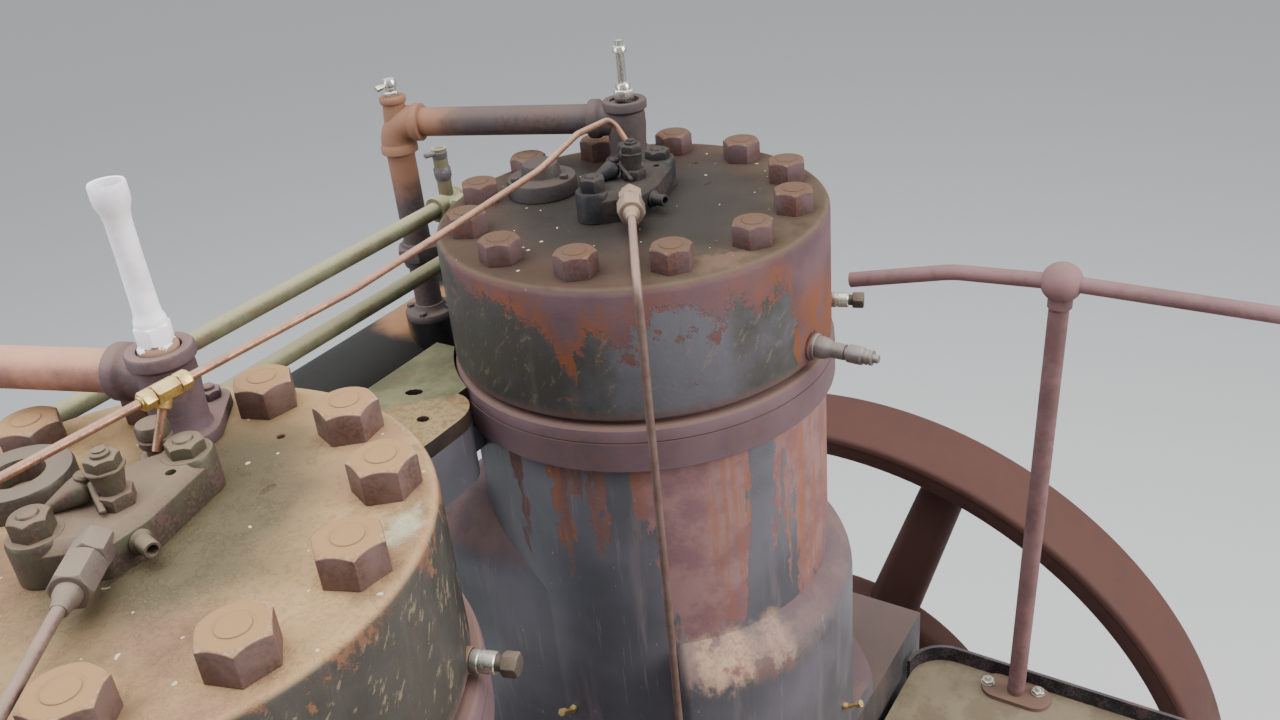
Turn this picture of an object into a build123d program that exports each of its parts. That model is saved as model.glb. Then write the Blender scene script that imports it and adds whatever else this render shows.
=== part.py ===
from build123d import *
import math
import os

# Two-cylinder vertical two-stroke stationary diesel engine on its foundation block,
# with the operator platform that stands beside it.
# Millimetres. Origin on the floor, below the middle of the two cylinders.
# X runs along the crankshaft to the flywheel, Y away from the operator, Z up.

# Main heights, each one standing on the one below
foundation_height = 450.0
base_height = 569.0
crankcase_height = 741.0
cylinder_height = 837.0
head_height = 203.0
crank_height = foundation_height + base_height
crankcase_top = crank_height + crankcase_height
drum_z = crankcase_top + cylinder_height
head_top = drum_z + head_height

# Cylinder line
cylinder_pitch = 914.0
cylinder_offsets = (-cylinder_pitch / 2, cylinder_pitch / 2)
engine_half_length = cylinder_pitch

# Cylinder head
head_radius = 300.0
head_edge_round = 6.0
nut_count = 12
nut_circle_radius = 249.5
nut_phase = 15.0
nut_flats = (62.0, 54.0)
nut_heights = (38.6, 34.5)

# Ring between head and barrel
ring_overhangs = (13.0, 5.0)
ring_spigot_radius = head_radius - 16.0
ring_gap = 10.0
ring_height = 72.0
ring_clearance = 1.0
ring_top = drum_z - ring_gap
ring_bottom = ring_top - ring_height

# Barrel, with the air passage on the operator side and the exhaust belt behind
barrel_radius = 290.0
barrel_flange_radius = 375.0
barrel_flange_half_width = 318.0
barrel_flange_thickness = 40.0
passage_radius = 332.0
passage_half_angle = 55.0
passage_rise = 425.0
passage_top = crankcase_top + passage_rise
passage_shoulder = 70.0
passage_end_angle = -48.0
passage_end_half_angle = 22.0
passage_end_extra_rise = 14.0
passage_end_shoulder = 95.0
belt_half_width = 288.0
belt_depth = 340.0
belt_rise = 575.0
belt_top = crankcase_top + belt_rise
belt_corner = 120.0
belt_shoulder = 90.0
corner_round = 14.0

# Side lug of each barrel and the plate on it
lug_near_y = 98.0
lug_far_y = 292.0
lug_reach = 470.0
lug_depth = 90.0
lug_corner = 60.0
lug_tab_end = 288.0
lug_root_near_y = 150.0
plate_thickness = 25.0

# Foundation, base and crankcases
foundation_free_margin = 126.0
foundation_drive_margin = 186.0
foundation_width = 1120.0
foundation_chamfer = 20.0
foundation_end = engine_half_length + foundation_drive_margin
base_half_width = 420.0
base_foot_half_width = 500.0
base_foot_thickness = 45.0
split_half_width = 450.0
split_flange_thickness = 35.0
case_straight_rise = 381.0
case_neck_height = 160.0
case_straight_top = crank_height + case_straight_rise
case_neck_bottom = crankcase_top - case_neck_height
case_neck_half_width = 320.0
casting_round = 10.0

# Doors and air valve covers on the crankcases
door_length = 560.0
door_height = 270.0
door_centre_rise = 216.0
door_centre_height = crank_height + door_centre_rise
door_thickness = 22.0
door_pad_margin = 60.0
door_pad_thickness = 12.0
valve_box_depth = 70.0

# End covers, shaft and flywheel
cover_radius = 230.0
cover_thickness = 40.0
cover_boss_radius = 130.0
cover_boss_reach = 150.0
shaft_radius = 82.5
shaft_end_gap = 2.0
shaft_free_length = 130.0
shaft_free_radius = 80.0
shaft_shoulder = 4.0
shaft_end_chamfer = 4.0
bearing_clearance = 0.08
seat_clearance = 0.05
wheel_floor_clearance = 84.0
rim_depth = 62.0
rim_outer_radius = crank_height - wheel_floor_clearance
rim_inner_radius = rim_outer_radius - rim_depth
wheel_foundation_gap = 90.0
rim_near_face = foundation_end + wheel_foundation_gap
rim_width = 192.0
disc_radius = 440.0
disc_thickness = 80.0
hub_radius = 175.0
hub_cover_gap = 48.0
hub_overhang = 48.0
hub_near_face = engine_half_length + cover_boss_reach + hub_cover_gap
hub_far_face = rim_near_face + rim_width + hub_overhang
arm_count = 6
arm_phase = 17.0
arm_width_hub = 130.0
arm_width_rim = 100.0
arm_thickness = 70.0

# Injector, tee and valve places, measured from each cylinder axis and up from the head top
injector_body_height = 45.0
injector_lobe_a = (-66.0, 21.0)
injector_lobe_b = (90.0, 3.0)
injector_spindle = (0.0, -9.0)
injector_lobe_radius = 26.0
injector_body_radius = 46.0
injector_web_share = 0.75
spindle_radius = 14.0
spindle_top = 105.0
lobe_nut_flats = 34.0
lobe_nut_a_top = 69.0
lobe_nut_b_top = 62.0
fuel_side_angles = (-144.3, -146.3)
fuel_fitting_height = 34.0
fuel_fitting_flats = 32.0
fuel_fitting_end = 144.0
fuel_line_radius = 6.0
fuel_drop_radius = 345.0

valve_place = (2.0, 168.0)
valve_collar_radius = 56.0
valve_collar_height = 28.0
valve_bore_radius = 27.0
valve_cap_radius = 30.0
valve_cap_height = 54.0

tee_place = (153.0, 98.0)
tee_radius = 32.0
tee_top = 113.0
tee_collar_radius = 36.0
tee_collar_height = 18.0
tee_foot_radius = 40.0
tee_foot_height = 14.0
tee_ear_reach = 62.0
tee_ear_radius = 23.0
tee_ear_angle = 24.0
tee_branch_height = 81.0
tee_branch_radius = 30.5
tee_branch_reach = 62.0
outlet_pipe_radius = 24.15
outlet_corner = (20.0, 484.0)
outlet_level = head_top + tee_branch_height
outlet_fitting_radius = 31.0
outlet_fitting_reach = 52.0
outlet_plug_radius = 17.0
outlet_plug_height = 40.0
outlet_union_drop = 245.0
outlet_union_height = outlet_level - outlet_union_drop
outlet_union_radius = 38.0
outlet_union_length = 26.0

# Gauges on the tees
sight_tube_radius = 14.0
sight_tube_top = 295.0
sight_tube_socket_radius = 20.0
sight_tube_socket_height = 36.0
sight_tube_lip_radius = 18.5
sight_tube_lip_height = 22.0
glass_gauge_radius = 9.5
glass_gauge_top = 208.0
glass_gauge_nut_flats = 30.0
glass_gauge_nut_height = 22.0

# Fittings on the drum of each head
cock_angle = -56.0
cock_direction = -71.0
cock_depth = 192.0
cock_radius = 12.0
cock_length = 33.0
cock_hex_flats = 24.0
cock_hex_length = 18.0
nipple_angle = -91.5
nipple_depth = 178.0
nipple_radius = 11.0
nipple_length = 100.0
nipple_valve_flats = 34.0
nipple_valve_length = 34.0
boss_extra_radius = 4.0
boss_stand = 5.0

# Oil fittings on each barrel: direction from the axis, wall radius there, height above the crankcase
oil_barrel_angle = 177.0
oil_barrel_rise = 250.0
oil_passage_angle = -85.0
oil_passage_rise = 125.0
oil_places = (
    (oil_barrel_angle, barrel_radius, oil_barrel_rise),
    (oil_passage_angle, passage_radius, oil_passage_rise),
)
oil_seat_gap = 0.3
oil_stub_radius = 6.0
oil_stub_length = 8.0
oil_stem_radius = 3.5
oil_stem_length = 20.0
oil_stem_tilt = 35.0
oil_head_flats = 12.0
oil_head_length = 9.0

# Header pipes behind the heads
header_radius = 13.35
header_clearance = 45.0
header_y = head_radius + header_clearance
upper_header_drop = 30.0
upper_header_height = head_top - upper_header_drop
upper_branch_offset = -34.0
lower_header_drop = 122.0
lower_header_height = head_top - lower_header_drop
lower_branch_offset = 60.0
header_tee_radius = 20.0
header_branch_radius = 16.0
header_tee_half = 30.0
header_end_overrun = 30.0
air_cock_radius = 12.0
air_cock_height = 96.0

# Exhaust
manifold_radius = 120.0
manifold_setback = 76.0
manifold_y = outlet_corner[1] + manifold_setback
manifold_drop = 423.0
manifold_height = head_top - manifold_drop
manifold_free_overrun = 190.0
manifold_outlet_overrun = 250.0
manifold_flange_radius = 165.0
manifold_flange_thickness = 24.0
water_boss_radius = 46.0
water_boss_rise = 18.0
water_boss_top = manifold_height + manifold_radius + water_boss_rise
exhaust_boss_radius = 100.0
exhaust_boss_drop = 30.0
exhaust_boss_bottom = manifold_height - manifold_radius - exhaust_boss_drop
exhaust_port_drop = 137.0
exhaust_port_height = exhaust_boss_bottom - exhaust_port_drop
exhaust_port_stand = 12.0
exhaust_port_face = belt_depth + exhaust_port_stand
exhaust_pipe_radius = 75.0
exhaust_bend_radius = 92.0
exhaust_flange_radius = 110.0
exhaust_flange_thickness = 20.0
outlet_bore_radius = 88.0
outlet_bore_depth = 60.0
outlet_bolt_count = 8
outlet_bolt_circle_radius = 140.0
outlet_bolt_hole_radius = 9.0

# Leak-off tube, its brass tee and the drain foot
leak_tube_radius = 4.75
leak_tube_rise = 100.0
leak_tube_height = head_top + leak_tube_rise
leak_straight_right = 252.0
leak_straight_left = 165.0
leak_tee_place = (106.0, 33.0)
leak_run_angle = -3.0
leak_tee_half = 30.0
leak_tee_flats = 20.0
leak_tee_socket = 18.0
leak_stub_place = (76.0, 31.0)
leak_route = ((-387.0, 31.0, 0.0), (-145.0, 52.0, 0.0), (-27.0, 66.0, 14.0), (76.0, 74.0, 6.0))
leak_route_bends = (250.0, 400.0, 250.0, 40.0, 20.0)
leak_drop_clearance = 20.0
leak_drop_place = (-barrel_flange_radius - leak_drop_clearance, 60.0)
leak_drop_bends = (200.0, 60.0)
leak_stub_gap = 1.0
leak_stub_foot_height = head_top + injector_body_height + leak_stub_gap
leak_foot_radius = 11.0
leak_foot_height = 24.0

# Fuel pumps and governor
case_pump_inset = 58.0
pump_edge_distance = 59.0
pump_place = (pump_edge_distance - cylinder_pitch / 2, case_pump_inset - case_neck_half_width)
pump_side = 84.0
pump_body_height = 110.0
pump_barrel_radius = 22.0
pump_top_height = 140.0
pump_elbow_rise = 200.0
pump_elbow_height = crankcase_top + pump_elbow_rise
fuel_line_knee_rise = 30.0
fuel_line_bends = (40.0, 40.0, 30.0)
governor_radius = 95.0
governor_height = 260.0
governor_bracket = 230.0
governor_shelf = 40.0

# Platform
deck_drop = 84.0
deck_height = crankcase_top - deck_drop
deck_free_overrun = 236.0
deck_drive_inset = 21.0
deck_start = -engine_half_length - deck_free_overrun
deck_end = engine_half_length - deck_drive_inset
deck_gap = 15.0
deck_depth = 915.0
deck_near_y = -case_neck_half_width - deck_gap
deck_far_y = deck_near_y - deck_depth
deck_thickness = 10.0
deck_corner = 75.0
deck_outer_corner = 40.0
rim_height = 35.0
rim_drop = 20.0
rim_thickness = 7.0
beam_width = 50.0
beam_depth = 100.0
beam_setback = 10.0
beam_clearance = 8.0
leg_width = 60.0
leg_foot = 160.0
leg_foot_thickness = 12.0
bracket_width = 80.0
bracket_depth = 60.0

# Handrail
rail_height = 910.0
rail_radius = 13.4
rail_post_radius = 16.7
rail_ball_radius = 34.0
rail_neck_radius = 20.0
rail_neck_reach = 44.0
rail_socket_start = 20.0
rail_socket_clearance = 0.2
post_lean = (4.0, -14.0)
post_edge_distance = 35.0
post_row_inset = 38.0
post_first_inset = 205.0
post_x = deck_end - post_edge_distance
post_first_y = deck_near_y - post_first_inset
post_row_y = deck_far_y + post_row_inset
post_row_x = (post_x, (deck_start + deck_end) / 2, deck_start + post_edge_distance)
open_rail_inset = 42.0
open_rail_reach = 334.0
open_rail_drop = 34.0
open_rail_knee = 0.50
open_rail_bend = 180.0
rail_open_end = (post_x - open_rail_inset, post_first_y + open_rail_reach)
post_foot_length = 136.0
post_foot_width = 66.0
post_foot_thickness = 9.0

bottom = (Align.CENTER, Align.CENTER, Align.MIN)


def slab(x0, x1, y0, y1, z0, z1):
    """Box between two opposite corners."""
    size = Box(x1 - x0, y1 - y0, z1 - z0, align=(Align.MIN, Align.MIN, Align.MIN))
    return Pos(x0, y0, z0) * size


def upright(radius, x, y, z0, z1):
    """Vertical round bar."""
    return Pos(x, y, z0) * Cylinder(radius, z1 - z0, align=bottom)


def rod(start, end, radius):
    """Round bar between two points."""
    a = Vector(*start)
    b = Vector(*end)
    place = Plane(origin=a, z_dir=(b - a).normalized())
    return place * Cylinder(radius, (b - a).length, align=bottom)


def hex_bar(start, end, across_flats, turn=0.0):
    """Six-sided bar between two points."""
    a = Vector(*start)
    b = Vector(*end)
    outline = RegularPolygon(across_flats / 2, 6, major_radius=False, rotation=turn)
    place = Plane(origin=a, z_dir=(b - a).normalized())
    return place * extrude(outline, (b - a).length)


def bent_tube(points, bend_radii, radius):
    """Round tube along straight runs joined by arcs."""
    path = FilletPolyline(*points, radius=bend_radii)
    start = Plane(origin=path @ 0, z_dir=path % 0)
    return sweep(start * Circle(radius), path=path)


def polar(radius, angle):
    """Plan position at a radius and an angle from X."""
    turn = math.radians(angle)
    return radius * math.cos(turn), radius * math.sin(turn)


def save(shape, name):
    export_step(shape, f"parts/{name}.step")


def ring_radius(number):
    """Outer radius of the joint ring of cylinder 1 or 2."""
    return head_radius + ring_overhangs[number - 1]


def centre_x(number):
    return cylinder_offsets[number - 1]


def sector(radius, half_angle, direction, z0, z1, shoulder_round):
    """Wedge of a round column with a rounded shoulder on top and rounded side edges."""
    shoulder = z1 - shoulder_round
    inner = radius - shoulder_round
    turn = math.radians(45)
    middle = (inner + shoulder_round * math.sin(turn), 0, shoulder + shoulder_round * math.cos(turn))
    outline = Polyline((inner, 0, z1), (0, 0, z1), (0, 0, z0), (radius, 0, z0), (radius, 0, shoulder))
    crown = ThreePointArc((radius, 0, shoulder), middle, (inner, 0, z1))
    profile = make_face(outline + crown)
    wedge = Rot(0, 0, direction - half_angle) * revolve(profile, Axis.Z, 2 * half_angle)
    corners = []
    for edge in wedge.edges():
        centre = edge.center()
        plan_angle = math.degrees(math.atan2(centre.Y, centre.X)) - direction
        from_middle = abs((plan_angle + 180) % 360 - 180)
        outside = math.hypot(centre.X, centre.Y) > inner
        if outside and centre.Z > z0 + 1 and abs(from_middle - half_angle) < 0.1:
            corners.append(edge)
    return fillet(corners, corner_round)


def exhaust_belt(z0, z1):
    """Chest round the exhaust ports, flush with the barrel's sides and rounded above."""
    plan = Pos(0, belt_depth / 2) * Rectangle(2 * belt_half_width, belt_depth)
    plan = fillet(plan.vertices().group_by(Axis.Y)[-1], belt_corner)
    chest = Pos(0, 0, z0) * extrude(plan, z1 - z0)
    top_edges = [edge for edge in chest.edges().group_by(Axis.Z)[-1] if edge.center().Y > 1]
    return fillet(top_edges, belt_shoulder)


def side_place(angle, direction, depth, stand):
    """Start point of a drum fitting, on the flat face of its boss, and its outward direction."""
    root = polar(head_radius, angle)
    way = polar(1.0, direction)
    reach = boss_stand + stand
    return (root[0] + way[0] * reach, root[1] + way[1] * reach, head_top - depth), way


def along(start, way, distance):
    return start[0] + way[0] * distance, start[1] + way[1] * distance, start[2]


outlet_run = math.dist(tee_place, outlet_corner)
outlet_way = ((outlet_corner[0] - tee_place[0]) / outlet_run, (outlet_corner[1] - tee_place[1]) / outlet_run)
cock_start, cock_way = side_place(cock_angle, cock_direction, cock_depth, 0.0)
nipple_start, nipple_way = side_place(nipple_angle, nipple_angle, nipple_depth, 0.0)


def foundation_block():
    start = -engine_half_length - foundation_free_margin
    block = slab(start, foundation_end, -foundation_width / 2, foundation_width / 2, 0, foundation_height)
    return chamfer(block.edges().group_by(Axis.Z)[-1], foundation_chamfer)


def base_frame():
    half = engine_half_length
    body = slab(-half, half, -base_half_width, base_half_width, foundation_height, crank_height)
    foot_top = foundation_height + base_foot_thickness
    foot = slab(-half, half, -base_foot_half_width, base_foot_half_width, foundation_height, foot_top)
    lip_bottom = crank_height - split_flange_thickness
    lip = slab(-half, half, -split_half_width, split_half_width, lip_bottom, crank_height)
    return body + foot + lip


def crankcase(x):
    half = cylinder_pitch / 2
    outline = Polyline(
        (-split_half_width, crank_height),
        (split_half_width, crank_height),
        (split_half_width, crank_height + split_flange_thickness),
        (base_half_width, crank_height + split_flange_thickness),
        (base_half_width, case_straight_top),
        (case_neck_half_width, case_neck_bottom),
        (case_neck_half_width, crankcase_top),
        (-case_neck_half_width, crankcase_top),
        (-case_neck_half_width, case_neck_bottom),
        (-base_half_width, case_straight_top),
        (-base_half_width, crank_height + split_flange_thickness),
        (-split_half_width, crank_height + split_flange_thickness),
        close=True,
    )
    place = Plane(origin=(x - half, 0, 0), x_dir=(0, 1, 0), z_dir=(1, 0, 0))
    return extrude(place * make_face(outline), 2 * half)


def crankcase_door(x):
    """Bolted inspection door with a raised middle, on the operator side."""
    z0 = door_centre_height - door_height / 2
    z1 = door_centre_height + door_height / 2
    y1 = -base_half_width
    plate = slab(x - door_length / 2, x + door_length / 2, y1 - door_thickness, y1, z0, z1)
    plate = fillet(plate.edges().filter_by(Axis.Y), door_pad_margin)
    half = door_length / 2 - door_pad_margin
    y2 = y1 - door_thickness
    pad = slab(x - half, x + half, y2 - door_pad_thickness, y2, z0 + door_pad_margin, z1 - door_pad_margin)
    return plate + pad


def air_valve_cover(x):
    """Shallow air inlet box behind each crankcase."""
    z0 = door_centre_height - door_height / 2
    z1 = door_centre_height + door_height / 2
    y0 = base_half_width
    plate = slab(x - door_length / 2, x + door_length / 2, y0, y0 + door_thickness, z0, z1)
    half = door_length / 2 - door_pad_margin / 2
    y1 = y0 + door_thickness
    inset = door_pad_margin / 2
    box = slab(x - half, x + half, y1, y1 + valve_box_depth, z0 + inset, z1 - inset)
    return plate + chamfer(box.faces().sort_by(Axis.Y)[-1].edges(), door_pad_thickness)


def lug_outline(x):
    """Plan of the side lug and its plate: a round-cornered tab and the root that joins the barrel."""
    tab_span = lug_reach - lug_tab_end
    tab_middle = Pos(x - lug_reach + tab_span / 2, (lug_near_y + lug_far_y) / 2)
    tab = tab_middle * RectangleRounded(tab_span, lug_far_y - lug_near_y, lug_corner)
    root_span = lug_reach - lug_corner - barrel_radius * 0.6
    root_middle = Pos(x - barrel_radius * 0.6 - root_span / 2, (lug_root_near_y + lug_far_y) / 2)
    return tab + root_middle * Rectangle(root_span, lug_far_y - lug_root_near_y)


def cylinder(number):
    z0 = crankcase_top
    body = upright(barrel_radius, 0, 0, z0, ring_bottom)
    flange = upright(barrel_flange_radius, 0, 0, z0, z0 + barrel_flange_thickness)
    reach = barrel_flange_radius + 1
    half = barrel_flange_half_width
    body += flange & slab(-reach, reach, -half, half, z0, z0 + barrel_flange_thickness)
    end_top = passage_top + passage_end_extra_rise
    passage = sector(passage_radius, passage_half_angle, -90, z0, passage_top, passage_shoulder)
    end_half = passage_end_half_angle
    passage += sector(passage_radius, end_half, passage_end_angle, z0, end_top, passage_end_shoulder)
    body += passage & slab(-reach, reach, -passage_radius - 1, 0, z0, end_top)
    body += exhaust_belt(z0, belt_top)
    port_level = exhaust_port_height
    body += rod((0, 0, port_level), (0, exhaust_port_face, port_level), exhaust_flange_radius)
    x = centre_x(number)
    body = Pos(x, 0, 0) * body
    lug_top = ring_top - plate_thickness
    lug = Pos(0, 0, lug_top - lug_depth) * extrude(lug_outline(x), lug_depth)
    lug -= upright(ring_radius(number) + ring_clearance, x, 0, ring_bottom, lug_top)
    return body + lug


def joint_ring(number):
    x = centre_x(number)
    ring = upright(ring_radius(number), x, 0, ring_bottom, ring_top)
    ring = fillet(ring.edges().group_by(Axis.Z)[-1], head_edge_round)
    return ring + upright(ring_spigot_radius, x, 0, ring_top, drum_z)


def side_plate(number):
    x = centre_x(number)
    plate = Pos(0, 0, ring_top - plate_thickness) * extrude(lug_outline(x), plate_thickness)
    return plate - upright(ring_radius(number) + ring_clearance, x, 0, drum_z - 2 * ring_height, drum_z)


def cylinder_head(x):
    drum = upright(head_radius, 0, 0, drum_z, head_top)
    drum = fillet(drum.edges().group_by(Axis.Z)[-1], head_edge_round)
    bosses = rod(along(cock_start, cock_way, -boss_stand - head_edge_round), cock_start, cock_radius)
    nipple_root = along(nipple_start, nipple_way, -boss_stand - head_edge_round)
    bosses += rod(nipple_root, nipple_start, nipple_valve_flats / 2 + boss_extra_radius)
    boss_y = head_radius + boss_stand
    boss_root = head_radius - 4 * head_edge_round
    levels = (upper_header_height, lower_header_height)
    for offset, height in zip((upper_branch_offset, lower_branch_offset), levels):
        bosses += rod((offset, boss_root, height), (offset, boss_y, height), header_tee_radius)
    return Pos(x, 0, 0) * (drum + bosses)


def head_nuts(number):
    x = centre_x(number)
    height = nut_heights[number - 1]
    nuts = []
    for index in range(nut_count):
        angle = nut_phase + index * 360 / nut_count
        px, py = polar(nut_circle_radius, angle)
        foot = (x + px, py, head_top)
        nuts.append(hex_bar(foot, (x + px, py, head_top + height), nut_flats[number - 1], angle))
    return Compound(nuts)


def injector(number):
    body = upright(injector_body_radius, 0, 0, 0, injector_body_height)
    for lobe in (injector_lobe_a, injector_lobe_b):
        body += upright(injector_lobe_radius, lobe[0], lobe[1], 0, injector_body_height)
        length = math.hypot(*lobe)
        turn = math.degrees(math.atan2(lobe[1], lobe[0]))
        half = injector_lobe_radius * injector_web_share
        body += Rot(0, 0, turn) * slab(0, length, -half, half, 0, injector_body_height)
    sx, sy = injector_spindle
    body += upright(spindle_radius, sx, sy, 0, spindle_top)
    ax, ay = injector_lobe_a
    bx, by = injector_lobe_b
    body += hex_bar((ax, ay, 0), (ax, ay, lobe_nut_a_top), lobe_nut_flats)
    body += hex_bar((bx, by, 0), (bx, by, lobe_nut_b_top), lobe_nut_flats)
    inner = polar(injector_body_radius * 0.5, fuel_side_angles[number - 1])
    outer = polar(fuel_fitting_end, fuel_side_angles[number - 1])
    body += hex_bar((*inner, fuel_fitting_height), (*outer, fuel_fitting_height), fuel_fitting_flats)
    return Pos(centre_x(number), 0, head_top) * body


def start_valve(x, open_bore):
    vx = x + valve_place[0]
    vy = valve_place[1]
    collar = upright(valve_collar_radius, vx, vy, head_top, head_top + valve_collar_height)
    if open_bore:
        return collar - upright(valve_bore_radius, vx, vy, head_top, head_top + valve_collar_height)
    return collar + upright(valve_cap_radius, vx, vy, head_top, head_top + valve_cap_height)


def water_tee(x):
    tx = x + tee_place[0]
    ty = tee_place[1]
    z = head_top
    tee = upright(tee_radius, tx, ty, z, z + tee_top)
    ex, ey = polar(tee_ear_reach, tee_ear_angle)
    tee += upright(tee_foot_radius, tx, ty, z, z + tee_foot_height)
    tee += upright(tee_ear_radius, tx + ex, ty + ey, z, z + tee_foot_height)
    web = slab(0, tee_ear_reach, -tee_ear_radius, tee_ear_radius, 0, tee_foot_height)
    tee += Pos(tx, ty, z) * Rot(0, 0, tee_ear_angle) * web
    tee += upright(tee_collar_radius, tx, ty, z + tee_top - tee_collar_height, z + tee_top)
    root = (tx, ty, z + tee_branch_height)
    return tee + rod(root, along(root, outlet_way, tee_branch_reach), tee_branch_radius)


def outlet_pipe(x):
    """Water pipe from the head's tee, over the header pipes and down to the manifold jacket."""
    tx = x + tee_place[0]
    ty = tee_place[1]
    level = outlet_level
    corner = (x + outlet_corner[0], outlet_corner[1], level)
    pipe = rod(along((tx, ty, level), outlet_way, tee_branch_reach), corner, outlet_pipe_radius)
    pipe += rod(along(corner, outlet_way, -outlet_fitting_reach), corner, outlet_fitting_radius - 1)
    top = level + outlet_fitting_reach * 0.8
    pipe += upright(outlet_fitting_radius, corner[0], corner[1], level - outlet_fitting_reach, top)
    pipe += upright(outlet_plug_radius, corner[0], corner[1], top, top + outlet_plug_height)
    pipe += upright(outlet_pipe_radius, corner[0], corner[1], water_boss_top, level)
    union_top = outlet_union_height + outlet_union_length
    pipe += upright(outlet_union_radius, corner[0], corner[1], outlet_union_height, union_top)
    foot_top = water_boss_top + tee_foot_height
    return pipe + upright(water_boss_radius, corner[0], corner[1], water_boss_top, foot_top)


def sight_tube(x):
    tx = x + tee_place[0]
    ty = tee_place[1]
    z = head_top + tee_top
    top = head_top + sight_tube_top
    tube = upright(sight_tube_radius, tx, ty, z, top)
    tube += upright(sight_tube_socket_radius, tx, ty, z, z + sight_tube_socket_height)
    return tube + upright(sight_tube_lip_radius, tx, ty, top - sight_tube_lip_height, top)


def glass_gauge(x):
    tx = x + tee_place[0]
    ty = tee_place[1]
    z = head_top + tee_top
    gauge = upright(glass_gauge_radius, tx, ty, z, head_top + glass_gauge_top)
    return gauge + hex_bar((tx, ty, z), (tx, ty, z + glass_gauge_nut_height), glass_gauge_nut_flats)


def relief_cock(x):
    shaft_end_point = along(cock_start, cock_way, cock_length)
    tip = along(cock_start, cock_way, cock_length + cock_hex_length)
    cock = rod(cock_start, shaft_end_point, cock_radius)
    return Pos(x, 0, 0) * (cock + hex_bar(shaft_end_point, tip, cock_hex_flats))


def side_nipple(x):
    valve_end = along(nipple_start, nipple_way, nipple_valve_length)
    tip = along(nipple_start, nipple_way, nipple_length)
    nipple = hex_bar(nipple_start, valve_end, nipple_valve_flats)
    return Pos(x, 0, 0) * (nipple + rod(valve_end, tip, nipple_radius))


def oil_fitting(x, angle, wall_radius, height):
    """Small brass elbow that stands out of the barrel and points up."""
    way = polar(1.0, angle)
    seat = polar(wall_radius + oil_seat_gap, angle)
    root = (x + seat[0], seat[1], crankcase_top + height)
    knee = Vector(*along(root, way, oil_stub_length))
    tilt = math.radians(oil_stem_tilt)
    rise = Vector(way[0] * math.cos(tilt), way[1] * math.cos(tilt), math.sin(tilt))
    tip = knee + rise * oil_stem_length
    fitting = rod(root, knee, oil_stub_radius) + rod(knee - rise * oil_stem_radius, tip, oil_stem_radius)
    return fitting + hex_bar(tip, tip + rise * oil_head_length, oil_head_flats)


def header_pipe(height, offset, start, end):
    """Pipe along both heads with a tee and a short branch to each drum."""
    pipe = rod((start, header_y, height), (end, header_y, height), header_radius)
    for x in cylinder_offsets:
        bx = x + offset
        tee_start = (bx - header_tee_half, header_y, height)
        pipe += rod(tee_start, (bx + header_tee_half, header_y, height), header_tee_radius)
        pipe += rod((bx, head_radius + boss_stand, height), (bx, header_y, height), header_branch_radius)
    return pipe


def upper_pipe():
    start = cylinder_offsets[0] + upper_branch_offset - header_end_overrun
    end = cylinder_offsets[1] + upper_branch_offset + header_end_overrun
    pipe = header_pipe(upper_header_height, upper_branch_offset, start, end)
    x = cylinder_offsets[1] + upper_branch_offset
    foot = upper_header_height + header_radius * 0.5
    return pipe + upright(air_cock_radius, x + 2, header_y, foot, upper_header_height + air_cock_height)


def lower_pipe():
    start = cylinder_offsets[0] + lower_branch_offset - header_end_overrun
    end = cylinder_offsets[1] + lower_branch_offset + header_end_overrun
    return header_pipe(lower_header_height, lower_branch_offset, start, end)


def exhaust_manifold():
    start = cylinder_offsets[0] - manifold_free_overrun
    end = cylinder_offsets[1] + manifold_outlet_overrun
    y = manifold_y
    z = manifold_height
    body = rod((start, y, z), (end, y, z), manifold_radius)
    for x0, x1 in ((start, start + manifold_flange_thickness), (end - manifold_flange_thickness, end)):
        body += rod((x0, y, z), (x1, y, z), manifold_flange_radius)
    for x in cylinder_offsets:
        body += upright(water_boss_radius, x + outlet_corner[0], outlet_corner[1], z, water_boss_top)
        body += upright(exhaust_boss_radius, x, y, exhaust_boss_bottom, z)
    body -= rod((end - outlet_bore_depth, y, z), (end, y, z), outlet_bore_radius)
    for index in range(outlet_bolt_count):
        dy, dz = polar(outlet_bolt_circle_radius, (index + 0.5) * 360 / outlet_bolt_count)
        hole_end = end - manifold_flange_thickness
        body -= rod((hole_end, y + dy, z + dz), (end, y + dy, z + dz), outlet_bolt_hole_radius)
    return body


def exhaust_elbow(x):
    port = (x, exhaust_port_face, exhaust_port_height)
    corner = (x, manifold_y, exhaust_port_height)
    top = (x, manifold_y, exhaust_boss_bottom)
    elbow = bent_tube([port, corner, top], exhaust_bend_radius, exhaust_pipe_radius)
    inner = exhaust_port_face + exhaust_flange_thickness
    elbow += rod(port, (x, inner, exhaust_port_height), exhaust_flange_radius)
    low = exhaust_boss_bottom - exhaust_flange_thickness
    return elbow + rod((x, manifold_y, low), top, exhaust_boss_radius)


leak_way = polar(1.0, leak_run_angle)
leak_tee_centre = (cylinder_offsets[0] + leak_tee_place[0], leak_tee_place[1], leak_tube_height)
leak_tee_right = along(leak_tee_centre, leak_way, leak_tee_half)
leak_tee_left = along(leak_tee_centre, leak_way, -leak_tee_half)
leak_stub_foot = Vector(cylinder_offsets[0] + leak_stub_place[0], leak_stub_place[1], leak_stub_foot_height)
leak_stub_way = (leak_stub_foot - Vector(*leak_tee_centre)).normalized()
leak_stub_top = Vector(*leak_tee_centre) + leak_stub_way * leak_tee_socket


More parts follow.
